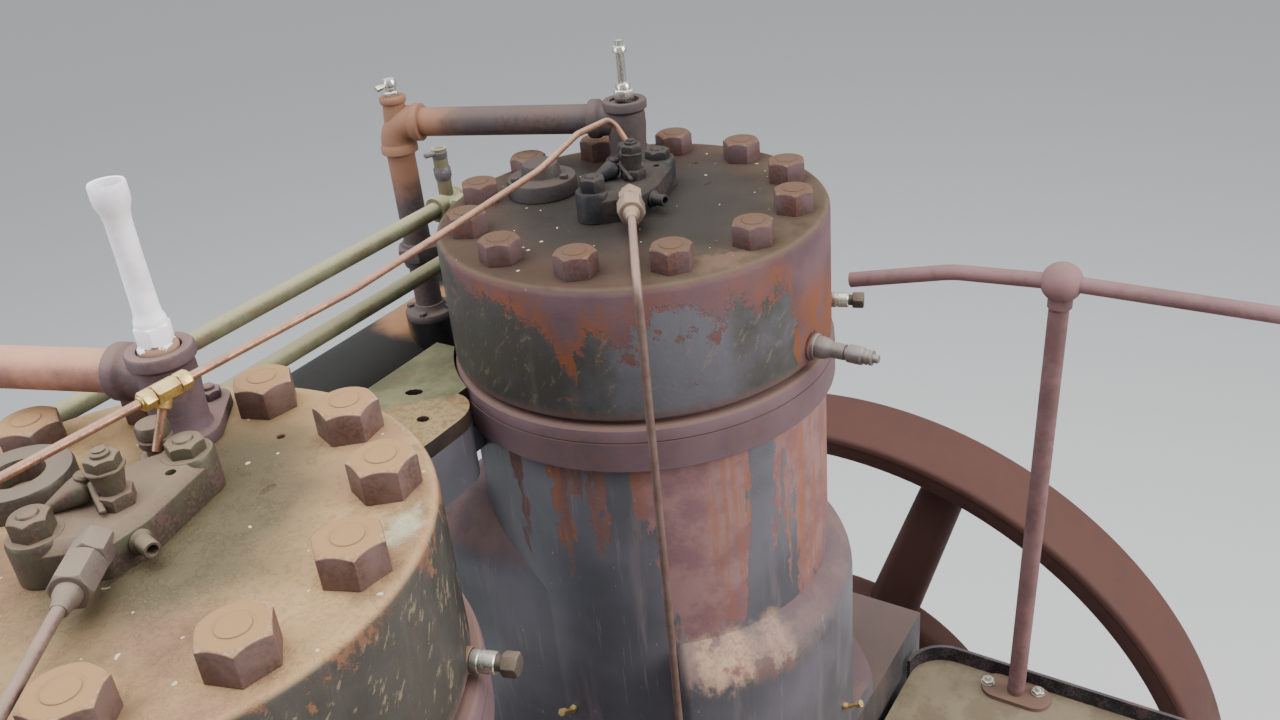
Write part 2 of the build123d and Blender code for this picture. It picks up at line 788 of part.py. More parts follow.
def leak_off_pipe():
    """Thin tube over both heads, with its drop at the free end and the stub below the tee."""
    z = leak_tube_height
    axis_x = cylinder_offsets[1]
    over_heads = [leak_tee_right, along(leak_tee_centre, leak_way, leak_straight_right)]
    for offset, y, rise in leak_route:
        over_heads.append((axis_x + offset, y, z + rise))
    over_heads.append((axis_x + leak_stub_place[0], leak_stub_place[1], leak_stub_foot_height))
    drop_x = cylinder_offsets[0] + leak_drop_place[0]
    drop_y = leak_drop_place[1]
    foot_top = crankcase_top + leak_foot_height
    to_free_end = [
        leak_tee_left,
        along(leak_tee_centre, leak_way, -leak_straight_left),
        (drop_x, drop_y, z),
        (drop_x, drop_y, foot_top),
    ]
    tube = bent_tube(over_heads, list(leak_route_bends), leak_tube_radius)
    drop = bent_tube(to_free_end, list(leak_drop_bends), leak_tube_radius)
    stub = rod(leak_stub_foot, leak_stub_top, leak_tube_radius)
    foot = upright(leak_foot_radius, drop_x, drop_y, crankcase_top, foot_top)
    return Compound([tube, drop + foot, stub])


def leak_off_tee():
    body = hex_bar(leak_tee_left, leak_tee_right, leak_tee_flats)
    return body + rod(leak_tee_centre, leak_stub_top, leak_tee_flats * 0.4)


def fuel_line(number):
    """Injection line from the nozzle holder over the drum's edge and down to the pump."""
    x = centre_x(number)
    start = polar(fuel_fitting_end, fuel_side_angles[number - 1])
    outer = polar(fuel_drop_radius, fuel_side_angles[number - 1])
    level = head_top + fuel_fitting_height
    pump_top = crankcase_top + pump_top_height
    points = [
        (x + start[0], start[1], level),
        (x + outer[0], outer[1], level),
        (x + outer[0], outer[1], pump_elbow_height + fuel_line_knee_rise),
        (x + pump_place[0], pump_place[1], pump_elbow_height),
        (x + pump_place[0], pump_place[1], pump_top),
    ]
    return bent_tube(points, list(fuel_line_bends), fuel_line_radius)


def fuel_pump(x):
    px = x + pump_place[0]
    py = pump_place[1]
    half = pump_side / 2
    top = crankcase_top + pump_body_height
    body = slab(px - half, px + half, py - half, py + half, crankcase_top, top)
    body = fillet(body.edges().filter_by(Axis.Z), casting_round)
    return body + upright(pump_barrel_radius, px, py, crankcase_top, crankcase_top + pump_top_height)


def governor():
    """Round governor housing on a bracket at the free end."""
    x = -engine_half_length - governor_bracket / 2
    tip = -engine_half_length - governor_bracket
    low = case_straight_top - governor_shelf
    half = governor_radius
    arm = slab(tip, -engine_half_length, -half, half, low, case_straight_top)
    arm = fillet(arm.edges().filter_by(Axis.Z).group_by(Axis.X)[0], governor_radius * 0.9)
    body = upright(governor_radius, x, 0, case_straight_top, case_straight_top + governor_height)
    body = fillet(body.edges().group_by(Axis.Z)[-1], governor_radius * 0.6)
    return arm + body


def end_cover(side):
    """Round bearing cover with its boss, bored for the shaft at the flywheel end."""
    face = side * engine_half_length
    outer = side * (engine_half_length + cover_thickness)
    cover = rod((face, 0, crank_height), (outer, 0, crank_height), cover_radius)
    tip = side * (engine_half_length + (cover_boss_reach if side > 0 else cover_thickness * 2))
    cover += rod((face, 0, crank_height), (tip, 0, crank_height), cover_boss_radius)
    if side > 0:
        cover -= rod((face, 0, crank_height), (tip, 0, crank_height), shaft_radius + bearing_clearance)
    return cover


def crankshaft():
    """Outer journal of the crankshaft, with a stepped free end beyond the wheel."""
    start = engine_half_length + shaft_end_gap
    step = hub_far_face + shaft_shoulder
    shaft = rod((start, 0, crank_height), (step, 0, crank_height), shaft_radius)
    free_end = rod((step, 0, crank_height), (step + shaft_free_length, 0, crank_height), shaft_free_radius)
    return shaft + chamfer(free_end.edges().group_by(Axis.X)[-1], shaft_end_chamfer)


def flywheel():
    """Cast wheel: heavy rim, six tapered arms, a wide centre disc and the hub."""
    x0 = rim_near_face
    mid = x0 + rim_width / 2
    rim = rod((x0, 0, 0), (x0 + rim_width, 0, 0), rim_outer_radius)
    rim -= rod((x0, 0, 0), (x0 + rim_width, 0, 0), rim_inner_radius)
    wheel = rim + rod((mid - disc_thickness / 2, 0, 0), (mid + disc_thickness / 2, 0, 0), disc_radius)
    wheel += rod((hub_near_face, 0, 0), (hub_far_face, 0, 0), hub_radius)
    inner = disc_radius * 0.8
    outer = (rim_inner_radius + rim_outer_radius) / 2
    outline = Polyline(
        (-arm_width_hub / 2, inner),
        (arm_width_hub / 2, inner),
        (arm_width_rim / 2, outer),
        (-arm_width_rim / 2, outer),
        close=True,
    )
    plane = Plane(origin=(mid - arm_thickness / 2, 0, 0), x_dir=(0, 1, 0), z_dir=(1, 0, 0))
    arm = extrude(plane * make_face(outline), arm_thickness)
    long_edges = arm.edges().filter_by(lambda edge: abs(edge.length - (outer - inner)) < 2)
    arm = fillet(long_edges, arm_thickness * 0.3)
    for index in range(arm_count):
        wheel += Rot(arm_phase + index * 360 / arm_count, 0, 0) * arm
    wheel -= rod((hub_near_face, 0, 0), (hub_far_face, 0, 0), shaft_radius + seat_clearance)
    return Pos(0, 0, crank_height) * wheel


def deck_outline(grow):
    """Plan of the deck, grown on all sides, with wider corners beside the engine."""
    width = deck_end - deck_start + 2 * grow
    depth = deck_near_y - deck_far_y + 2 * grow
    plan = Pos((deck_start + deck_end) / 2, (deck_near_y + deck_far_y) / 2) * Rectangle(width, depth)
    plan = fillet(plan.vertices().group_by(Axis.Y)[-1], deck_corner + grow)
    return fillet(plan.vertices().group_by(Axis.Y)[0], deck_outer_corner + grow)


def platform_deck():
    outline = deck_outline(0)
    return Pos(0, 0, deck_height - deck_thickness) * extrude(outline, deck_thickness)


def deck_rim():
    """Upturned edge round the open sides of the deck."""
    t = rim_thickness
    low = deck_height - rim_drop
    ring = Pos(0, 0, low) * extrude(deck_outline(t) - deck_outline(0), rim_height + rim_drop)
    x0 = deck_start + deck_corner
    x1 = deck_end - deck_corner
    return ring - slab(x0, x1, deck_near_y - 1, deck_near_y + t + 1, low - 1, deck_height + rim_height + 1)


def beam_levels():
    top = deck_height - deck_thickness
    return top - beam_depth, top


def beam_near_y():
    """Inner edge of the platform frame, clear of the sloping crankcase at the beams' lower edge."""
    slope = (base_half_width - case_neck_half_width) / (case_neck_bottom - case_straight_top)
    case_half_width = case_neck_half_width + max(0.0, case_neck_bottom - beam_levels()[0]) * slope
    return min(deck_near_y - beam_setback, -case_half_width - beam_clearance)


def platform_beams():
    z0, z1 = beam_levels()
    near = beam_near_y()
    far = deck_far_y + beam_setback
    x0 = deck_start + deck_corner
    x1 = deck_end - deck_corner
    frame = slab(x0, x1, near - beam_width, near, z0, z1)
    frame += slab(x0, x1, far, far + beam_width, z0, z1)
    bays = len(post_row_x) - 1
    for index in range(bays + 1):
        x = x0 + beam_width / 2 + index * (x1 - x0 - beam_width) / bays
        frame += slab(x - beam_width / 2, x + beam_width / 2, far, near, z0, z1)
    return frame


def platform_legs():
    z0, z1 = beam_levels()
    far = deck_far_y + beam_setback
    x0 = deck_start + deck_corner
    x1 = deck_end - deck_corner
    bays = len(post_row_x) - 1
    legs = []
    for index in range(bays + 1):
        x = x0 + beam_width / 2 + index * (x1 - x0 - beam_width) / bays
        y = far + beam_width / 2
        leg = Pos(x, y, 0) * Box(leg_width, leg_width, z0, align=bottom)
        foot = Pos(x, y, 0) * Box(leg_foot, leg_foot, leg_foot_thickness, align=bottom)
        legs.append(leg + foot)
    return Compound(legs)


def deck_brackets():
    """Blocks that bolt the platform's inner beam to each crankcase."""
    top = beam_levels()[1]
    half = bracket_width / 2
    low = top - bracket_depth
    blocks = []
    for x in cylinder_offsets:
        blocks.append(slab(x - half, x + half, beam_near_y(), -case_neck_half_width, low, top))
    return Compound(blocks)


def unit_way(start, end):
    """Level direction from one plan position to another."""
    run = math.dist(start, end)
    return ((end[0] - start[0]) / run, (end[1] - start[1]) / run)


def rail_point(ball, way, reach):
    """Point at rail height, at a level distance from a ball fitting."""
    return (ball[0] + way[0] * reach, ball[1] + way[1] * reach, deck_height + rail_height)


def handrail_post(foot, ball, ways, foot_length, foot_turn):
    """Rail post with its foot plate and a ball fitting, bored for each rail."""
    z0 = deck_height
    top = deck_height + rail_height
    outline = Circle(post_foot_width / 2)
    if foot_length > post_foot_width:
        outline = SlotOverall(foot_length, post_foot_width, rotation=foot_turn)
    post = Pos(*foot, z0) * extrude(outline, post_foot_thickness)
    root = z0 + post_foot_thickness / 2
    post += rod((*foot, root), (*ball, top), rail_post_radius)
    post += Pos(*ball, top) * Sphere(rail_ball_radius)
    post += upright(rail_neck_radius, *ball, top - rail_neck_reach, top)
    for way in ways:
        socket = rail_radius + rail_socket_clearance
        mouth = rail_point(ball, way, 2 * rail_ball_radius)
        post -= rod(rail_point(ball, way, rail_socket_start), mouth, socket)
    return post


def rail_run(start, end):
    """Straight rail between the sockets of two balls."""
    way = unit_way(start, end)
    near_seat = rail_point(start, way, rail_socket_start)
    return rod(near_seat, rail_point(end, way, -rail_socket_start), rail_radius)


def open_rail(start, end):
    """Rail from a ball to an open end, bent down past its middle."""
    way = unit_way(start, end)
    knee = rail_point(start, way, open_rail_knee * math.dist(start, end))
    tip = (*end, deck_height + rail_height - open_rail_drop)
    return bent_tube([rail_point(start, way, rail_socket_start), knee, tip], open_rail_bend, rail_radius)


os.makedirs("parts", exist_ok=True)

save(foundation_block(), "foundation_block")
save(base_frame(), "base_frame")
save(exhaust_manifold(), "exhaust_manifold")
save(upper_pipe(), "upper_pipe")
save(lower_pipe(), "lower_pipe")
save(leak_off_pipe(), "leak_off_pipe")
save(leak_off_tee(), "leak_off_tee")
save(governor(), "governor")
save(end_cover(1), "drive_end_cover")
save(end_cover(-1), "free_end_cover")
save(crankshaft(), "crankshaft")
save(flywheel(), "flywheel")

for number, centre in enumerate(cylinder_offsets, start=1):
    save(crankcase(centre), f"crankcase_{number}")
    save(crankcase_door(centre), f"crankcase_door_{number}")
    save(air_valve_cover(centre), f"air_valve_cover_{number}")
    save(cylinder(number), f"cylinder_{number}")
    save(joint_ring(number), f"joint_ring_{number}")
    save(side_plate(number), f"side_plate_{number}")
    save(cylinder_head(centre), f"cylinder_head_{number}")
    save(head_nuts(number), f"head_nuts_{number}")
    save(injector(number), f"injector_{number}")
    save(water_tee(centre), f"water_tee_{number}")
    save(outlet_pipe(centre), f"outlet_pipe_{number}")
    save(exhaust_elbow(centre), f"exhaust_elbow_{number}")

left, right = cylinder_offsets
save(start_valve(left, True), "start_valve_collar")
save(start_valve(right, False), "start_valve_cap")
save(sight_tube(left), "sight_tube")
save(glass_gauge(right), "glass_gauge")
save(Compound([relief_cock(left), relief_cock(right)]), "relief_cocks")
save(Compound([side_nipple(left), side_nipple(right)]), "side_nipples")
oil_fittings = [oil_fitting(x, *place) for x in cylinder_offsets for place in oil_places]
save(Compound(oil_fittings), "oil_fittings")
save(Compound([fuel_line(1), fuel_line(2)]), "fuel_lines")
save(Compound([fuel_pump(left), fuel_pump(right)]), "fuel_pumps")

save(platform_deck(), "platform_deck")
save(deck_rim(), "deck_rim")
save(platform_beams(), "platform_beams")
save(platform_legs(), "platform_legs")
save(deck_brackets(), "deck_brackets")

first_foot = (post_x, post_first_y)
first_ball = (post_x + post_lean[0], post_first_y + post_lean[1])
row_places = [(x, post_row_y) for x in post_row_x]
first_ways = [unit_way(first_ball, rail_open_end), unit_way(first_ball, row_places[0])]
first_post = handrail_post(first_foot, first_ball, first_ways, post_foot_length, 90)
save(first_post, "rail_post_inner")
row_ways = [
    [unit_way(row_places[0], first_ball), (-1, 0)],
    [(1, 0), (-1, 0)],
    [(1, 0)],
]
row_feet = (post_foot_width, post_foot_length, post_foot_width)
row_posts = []
for place, ways, foot_size in zip(row_places, row_ways, row_feet):
    row_posts.append(handrail_post(place, place, ways, foot_size, 0))
save(Compound(row_posts), "rail_posts_outer")

rails = [open_rail(first_ball, rail_open_end), rail_run(first_ball, row_places[0])]
for start, end in zip(row_places, row_places[1:]):
    rails.append(rail_run(start, end))
save(Compound(rails), "handrail")
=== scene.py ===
# %% [markdown]
# A two-cylinder stationary diesel engine, dressed over its CAD model.
# The CAD model is the fixed frame: it says where every casting, pipe and rail stands.
# This file gives each piece its finish, and models again the pieces whose small forms carry the
# look of the real engine: drum heads, hexagon nuts, nozzle holders, cast pipe fittings and bolts.
# Everything is in metres. X runs along the crankshaft to the wheel, Y to the back, Z up.

import math
import random

import bpy
from mathutils import Matrix, Vector


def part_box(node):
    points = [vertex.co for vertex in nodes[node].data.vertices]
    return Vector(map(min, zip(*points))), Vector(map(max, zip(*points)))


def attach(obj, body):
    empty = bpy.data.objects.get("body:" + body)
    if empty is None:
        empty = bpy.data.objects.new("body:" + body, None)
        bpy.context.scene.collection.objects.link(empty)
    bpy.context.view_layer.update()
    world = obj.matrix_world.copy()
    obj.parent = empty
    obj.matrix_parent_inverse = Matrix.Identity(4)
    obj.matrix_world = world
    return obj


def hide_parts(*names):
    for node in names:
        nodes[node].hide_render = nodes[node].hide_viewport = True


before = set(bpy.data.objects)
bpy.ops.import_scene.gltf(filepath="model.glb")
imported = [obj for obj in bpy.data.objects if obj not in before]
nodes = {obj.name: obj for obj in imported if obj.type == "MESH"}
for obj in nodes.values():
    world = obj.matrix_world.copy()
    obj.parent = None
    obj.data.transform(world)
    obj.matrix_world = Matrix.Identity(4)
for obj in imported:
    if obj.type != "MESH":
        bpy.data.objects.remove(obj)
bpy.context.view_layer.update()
random.seed(17)
print("CAD nodes:", len(nodes))

# %% [markdown]
# The camera comes first, because every later choice is judged through it. The operator stands on
# the platform at the free end and looks down along both heads. A camera can be turned by Euler
# angles alone, but a hand-held view also rolls, so the roll is a last turn about the view axis.

# %% Camera
camera_place = Vector((-0.9333, -0.9425, 3.4391))
camera_heading = math.radians(34.48)
camera_dip = math.radians(28.404)
camera_roll = math.radians(5.667)
bpy.ops.object.camera_add(location=camera_place)
camera = bpy.context.object
heading_turn = Matrix.Rotation(camera_heading - math.pi / 2, 4, "Z")
dip_turn = Matrix.Rotation(math.pi / 2 - camera_dip, 4, "X")
roll_turn = Matrix.Rotation(-camera_roll, 4, "Z")
camera.rotation_euler = (heading_turn @ dip_turn @ roll_turn).to_euler()
camera.data.sensor_width = 36.0
camera.data.lens = 32.84
camera.data.clip_start = 0.05
bpy.context.scene.camera = camera
print("camera", [round(v, 3) for v in camera.location])

# %% [markdown]
# A studio for dull iron needs large soft lights, because rust and dust show their grain only in
# grazing light. One broad light stands to the right of the operator, one hangs overhead, and the
# pale world fills the shadows. The floor is plain and isn't part of the engine.

# %% Floor and lights
def soft_light(name, place, target, width, power, tint):
    """A square light that faces a target."""
    bpy.ops.object.light_add(type="AREA", location=place)
    light = bpy.context.object
    light.name = name
    light.data.size = width
    light.data.energy = power
    light.data.color = tint
    light.rotation_euler = (Vector(target) - Vector(place)).to_track_quat("-Z", "Y").to_euler()


engine_middle = (0.0, 0.0, 2.2)
soft_light("key_right", (1.6, -4.6, 4.6), engine_middle, 3.2, 350.0, (1.0, 0.97, 0.93))
soft_light("overhead", (-0.6, 0.8, 6.6), engine_middle, 5.0, 430.0, (0.95, 0.97, 1.0))
soft_light("back_left", (-4.5, 3.5, 4.0), engine_middle, 3.0, 160.0, (0.93, 0.96, 1.0))
world = bpy.data.worlds.new("studio")
bpy.context.scene.world = world
world.use_nodes = True
world.node_tree.nodes["Background"].inputs["Color"].default_value = (0.86, 0.89, 0.95, 1.0)
world.node_tree.nodes["Background"].inputs["Strength"].default_value = 0.75

bpy.ops.object.select_all(action="DESELECT")
bpy.ops.mesh.primitive_plane_add(size=60.0, location=(0.0, 0.0, 0.0))
floor = bpy.context.object
floor.name = "studio_floor"
floor_finish = bpy.data.materials.new("pale_floor")
floor_finish.use_nodes = True
floor_shader = floor_finish.node_tree.nodes["Principled BSDF"]
floor_shader.inputs["Base Color"].default_value = (0.62, 0.62, 0.61, 1.0)
floor_shader.inputs["Roughness"].default_value = 0.75
floor.data.materials.append(floor_finish)
print("studio ready")

# %% [markdown]
# Old iron is never one colour. Each finish below starts from a paint or metal tone and lays other
# tones over it through masks: broad stains, fine speckle, dust where a face looks up, and rust
# where water ran. Wiring this by hand in the node editor works, but two small helpers keep each
# recipe short and readable: a call adds one node and links it, and so does a sum or a product.

# %% A helper for mixing finishes
def tone(red, green, blue):
    """A screen colour from 0 to 255, turned into the linear values that the shader wants."""
    def linear(value):
        share = value / 255
        return share / 12.92 if share <= 0.04045 else ((share + 0.055) / 1.055) ** 2.4
    return (linear(red), linear(green), linear(blue), 1.0)


class Field:
    """A value that varies over a surface. Sums and products of fields become math nodes."""

    def __init__(self, finish, socket):
        self.finish = finish
        self.socket = socket

    def __add__(self, other):
        return self.finish.math("ADD", self, other)

    def __radd__(self, other):
        return self.finish.math("ADD", other, self)

    def __sub__(self, other):
        return self.finish.math("SUBTRACT", self, other)

    def __rsub__(self, other):
        return self.finish.math("SUBTRACT", other, self)

    def __mul__(self, other):
        return self.finish.math("MULTIPLY", self, other)

    def __truediv__(self, other):
        return self.finish.math("DIVIDE", self, other)

    def __pow__(self, other):
        return self.finish.math("POWER", self, other)

    def steps(self, low, high):
        """0 below low, 1 above high, smooth between; low may be the larger number."""
        node = self.finish.add("MapRange", interpolation_type="SMOOTHSTEP")
        self.finish.feed(node.inputs["Value"], self)
        node.inputs["From Min"].default_value = min(low, high)
        node.inputs["From Max"].default_value = max(low, high)
        node.inputs["To Min"].default_value = 0.0 if low < high else 1.0
        node.inputs["To Max"].default_value = 1.0 if low < high else 0.0
        return Field(self.finish, node.outputs[0])

    def near(self, middle, reach):
        """1 at a value, fading to 0 at a reach on both sides."""
        return self.finish.math("ABSOLUTE", self - middle).steps(reach, 0.0)

    def curve(self, points):
        """A given line: the height of a curve through (0..1, 0..1) points."""
        node = self.finish.add("FloatCurve")
        line = node.mapping.curves[0]
        for _ in points[2:]:
            line.points.new(0.5, 0.5)
        for knot, (across, up) in zip(line.points, points):
            knot.location = (across, up)
        node.mapping.update()
        self.finish.feed(node.inputs["Value"], self)
        return Field(self.finish, node.outputs[0])


class Finish:
    """One procedural finish, read from the piece's own object coordinates."""

    def __init__(self, name):
        self.material = bpy.data.materials.new(name)
        self.material.use_nodes = True
        self.nodes = self.material.node_tree.nodes
        self.links = self.material.node_tree.links
        self.surface = self.nodes["Principled BSDF"]
        self.place = self.add("TexCoord").outputs["Object"]

    def add(self, kind, **settings):
        node = self.nodes.new("ShaderNode" + kind)
        for key, value in settings.items():
            setattr(node, key, value)
        return node

    def feed(self, socket, value):
        """Links a field or a socket, or sets a number or a screen tone of three parts."""
        if isinstance(value, Field):
            value = value.socket
        elif isinstance(value, tuple) and len(value) == 3:
            value = tone(*value)
        if isinstance(value, bpy.types.NodeSocket):
            self.links.new(value, socket)
        else:
            socket.default_value = value

    def math(self, operation, *values, clamp=False):
        node = self.add("Math", operation=operation, use_clamp=clamp)
        for socket, value in zip(node.inputs, values):
            self.feed(socket, value)
        return Field(self, node.outputs[0])

    def about(self, centre=(0, 0, 0), turn=0.0, stretch=(1, 1, 1)):
        """Coordinates measured from a centre, turned about Z and stretched along the axes."""
        node = self.add("Mapping", vector_type="TEXTURE")
        self.feed(node.inputs["Vector"], self.place)
        node.inputs["Location"].default_value = centre
        node.inputs["Rotation"].default_value = (0, 0, math.radians(turn))
        node.inputs["Scale"].default_value = stretch
        return node.outputs[0]

    def split(self, vector):
        node = self.add("SeparateXYZ")
        self.feed(node.inputs[0], vector)
        return [Field(self, part) for part in node.outputs]

    def from_axis(self, centre, turn=0.0, stretch=(1, 1, 1)):
        """Level distance from an upright axis."""
        across, along, _ = self.split(self.about(centre, turn, stretch))
        return (across ** 2.0 + along ** 2.0) ** 0.5

    def distance(self, centre, turn=0.0, stretch=(1, 1, 1)):
        """Distance from a centre, in stretched units."""
        node = self.add("VectorMath", operation="LENGTH")
        self.feed(node.inputs[0], self.about(centre, turn, stretch))
        return Field(self, node.outputs["Value"])

    def noise(self, scale, detail=3.0, place=None, roughness=0.55):
        node = self.add("TexNoise")
        self.feed(node.inputs["Vector"], place or self.place)
        node.inputs["Scale"].default_value = scale
        node.inputs["Detail"].default_value = detail
        node.inputs["Roughness"].default_value = roughness
        return Field(self, node.outputs[0])

    def mix(self, share, under, over):
        node = self.add("Mix", data_type="RGBA")
        for index, value in ((0, share), (6, under), (7, over)):
            self.feed(node.inputs[index], value)
        return node.outputs[2]

    def up(self):
        """How far a face looks up, from -1 to 1."""
        return self.split(self.add("NewGeometry").outputs["Normal"])[2]

    def paint(self, colour, rough, metal=0.0, shine=0.18):
        self.feed(self.surface.inputs["Base Color"], colour)
        self.surface.inputs["Specular IOR Level"].default_value = shine
        self.feed(self.surface.inputs["Roughness"], rough)
        self.feed(self.surface.inputs["Metallic"], metal)

    def relief(self, height, depth, strength=1.0):
        """Small bumps, given as a height from 0 to 1 and its depth in metres."""
        node = self.add("Bump")
        self.feed(node.inputs["Height"], height)
        node.inputs["Distance"].default_value = depth
        node.inputs["Strength"].default_value = strength
        self.feed(self.surface.inputs["Normal"], node.outputs[0])
        return self.material


def wear(finish, name_list):
    """Puts one finish on CAD nodes, which keep their own shapes."""
    for name in name_list:
        for holder in nodes[name].material_slots:
            holder.material = finish


print("finish helper ready")

# %% [markdown]
# The drum heads are bare cast iron under years of dust and oil. From above they look tan, darker
# towards the middle where oil creeps from the nozzle holder. Their sides still hold black paint,
# which has come off in a ragged line below the rim, and rust runs down through the gaps. The black
# is painted lighter and bluer over part of each drum as a painted reflection.
# The line's height is drawn as a curve round the drum, then torn by noise.

# %% Finish of the drum heads
head_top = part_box("cylinder_head_1")[1].z
cylinder_x = [(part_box(f"joint_ring_{n}")[0].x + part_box(f"joint_ring_{n}")[1].x) / 2 for n in (1, 2)]
drum_height = 0.203
facing = -145.0


def round_the_drum(finish, number):
    """Share of the half turn that faces the operator (0 left, 1 right), and the height."""
    local = finish.split(finish.about((cylinder_x[number - 1], 0, 0), facing))
    angle = finish.math("ARCTAN2", local[1], local[0])
    return (angle * (1 / math.pi) + 0.5, local[2])


def head_iron(number, paint_edge, tops, oil, smear, sides, orange_line, painted_sheen_line, flecks, rim_wear_and_highlight_tone):
    """Dusty top with an oily middle, and sides whose black paint ends in a ragged line."""
    finish = Finish(f"head_iron_{number}")
    share, height = round_the_drum(finish, number)
    broad = finish.noise(3.1, 4.0)
    cloudy = finish.noise(14.0, 5.0, roughness=0.62)
    ragged = finish.noise(42.0, 6.0, finish.about(stretch=(1, 1, 1.9)), 0.7)
    fine = finish.noise(150.0, 4.0, roughness=0.7)
    speck = finish.noise(420.0, 2.0)
    streaks = finish.noise(34.0, 5.0, finish.about(stretch=(1, 1, 6.0)), 0.65)

    light, blush, dark = tops
    centre, reach, turn, oil_tone, oil_share = oil
    worn = finish.mix(broad.steps(0.42, 0.6), light, blush)
    worn = finish.mix(cloudy.steps(0.5, 0.7) * 0.7, worn, dark)
    axis_x = cylinder_x[number - 1]
    radius = finish.from_axis((axis_x + centre[0], centre[1], 0), turn, (*reach, 1))
    uneven = (cloudy - 0.5) * 0.5 + (broad - 0.5) * 1.6
    oily = (radius + uneven).steps(1.35, 0.55)
    worn = finish.mix(oily * oil_share, worn, oil_tone)
    worn = finish.mix(fine.steps(0.55, 0.72) * 0.4, worn, dark)
    worn = finish.mix(speck.steps(0.58, 0.74) * 0.3, worn, light)
    (pale_x, pale_y), pale_reach, pale_turn, pale = smear
    from_smear = finish.distance((axis_x + pale_x, pale_y, head_top), pale_turn, (*pale_reach, 1))
    smeared = (ragged - 0.5) * 2.2 + from_smear
    worn = finish.mix(smeared.steps(1.2, 0.4) * 0.7, worn, pale)
    crumbs = finish.noise(75.0, 1.0).steps(0.745, 0.765)
    worn = finish.mix(crumbs * 0.7, worn, (214, 200, 176))

    shifted = (ragged - 0.5) * 0.09 + share
    line = shifted.curve(paint_edge)
    torn = (fine - 0.5) * 0.4 + ((ragged - 0.5) * 0.55 + (cloudy - 0.5) * 0.3)
    level = (height - (head_top - drum_height)) / drum_height
    painted = (line + torn - level).steps(-0.03, 0.03)
    by_edge = (line - level).near(0.16, 0.22)
    chips = by_edge * 0.075 + finish.noise(24.0, 6.0, roughness=0.72)
    painted = painted * chips.steps(0.675, 0.645)
    deep, painted_sheen, band_tone, patch_tone, orange = sides
    # Painted reflection: the black is mixed towards its lighter, bluer second tone along a curve round the
    # drum, standing in for light on the paint.
    lit = (cloudy - 0.5) * 1.3 + share.curve(painted_sheen_line)
    black = finish.mix(lit.steps(0.0, 1.0), deep, painted_sheen)
    black = finish.mix(streaks.steps(0.52, 0.72) * 0.5, black, (92, 82, 76))
    slant = finish.add("CombineXYZ")
    finish.feed(slant.inputs[0], share * 0.94 + height * -0.7)
    finish.feed(slant.inputs[1], (share * 0.66 + height) * 0.35)
    flecked = finish.noise(60.0, 6.0, slant.outputs[0], 0.75).steps(0.56, 0.63)
    black = finish.mix(flecked * flecks, black, (134, 120, 98))
    thin = (line + torn).near(level, 0.1) * fine.steps(0.42, 0.6)
    black = finish.mix(thin * 0.6, black, patch_tone)
    band = finish.mix(finish.noise(7.0, 4.0).steps(0.36, 0.62), band_tone, patch_tone)
    drop_gap = level - finish.math("MAXIMUM", line, 0.35)
    gap = (cloudy - 0.5) * 0.5 + drop_gap
    rusty = gap.steps(0.36, 0.04) * ragged.steps(0.3, 0.56) * share.curve(orange_line)
    band = finish.mix(rusty, band, orange)
    band = finish.mix(fine.steps(0.56, 0.74) * 0.35, band, patch_tone)
    lip = (level + fine * 0.06).steps(0.12, 0.05)
    black = finish.mix(lip * 0.8, black, (100, 78, 76))
    side = finish.mix(painted, band, black)

    looks_up = finish.up().steps(0.25, 0.8)
    colour = finish.mix(looks_up, side, worn)
    # Painted highlight with wear: the top of the rim turns pale, partly rubbed iron and partly a painted
    # highlight along the rounded lip.
    on_rim = finish.from_axis((axis_x, 0, 0)).steps(0.290, 0.296)
    rim_scuff_and_highlight = on_rim * level.steps(0.955, 0.985) * cloudy.steps(0.3, 0.5)
    colour = finish.mix(rim_scuff_and_highlight * 0.6, colour, rim_wear_and_highlight_tone)
    rough = finish.mix(painted, (0.88, 0.88, 0.88, 1), (0.55, 0.55, 0.55, 1))
    rough = finish.mix(looks_up, rough, finish.mix(oily, (0.84, 0.84, 0.84, 1), (0.58, 0.58, 0.58, 1)))
    finish.paint(colour, rough)
    return finish.relief(fine * 0.5 + cloudy * 0.7 + painted * 0.5, 0.0016, 0.65)


near_edge = ((0.0, 1.02), (0.3, 1.0), (0.45, 1.04), (0.7, 1.0), (1.0, 0.95))
far_edge = (
    (0.0, 1.2), (0.09, 1.15), (0.13, 0.98), (0.19, 0.84), (0.25, 0.79), (0.31, 0.74), (0.34, 0.66),
    (0.362, 0.52), (0.38, 0.36), (0.388, 0.32), (0.398, 0.52), (0.42, 0.62), (0.44, 0.64), (0.465, 0.58),
    (0.49, 0.76), (0.56, 0.79), (0.6, 0.7), (0.64, 0.8), (0.67, 0.66), (0.705, 0.76), (0.735, 0.66),
    (0.75, 0.3), (0.765, -0.2), (1.0, -0.2),
)
far_rusty = (
    (0.0, 0.0), (0.12, 0.0), (0.19, 0.35), (0.26, 0.8), (0.36, 1.0), (0.43, 1.0), (0.46, 0.4), (0.50, 0.5),
    (0.58, 0.25), (0.66, 0.5), (0.74, 0.8), (0.80, 0.95), (1.0, 0.8),
)
# These two curves say where round each drum the black carries its painted reflection; the second side tone
# below is that reflection's tone.
far_painted_sheen = (
    (0.0, 0.2), (0.25, 0.05), (0.4, 0.2), (0.46, 0.65), (0.52, 0.95), (0.58, 1.0), (0.64, 0.5),
    (0.74, 0.3), (1.0, 0.3),
)
near_painted_sheen = ((0.0, 0.2), (0.4, 0.15), (0.6, 0.6), (0.75, 0.8), (1.0, 0.4))
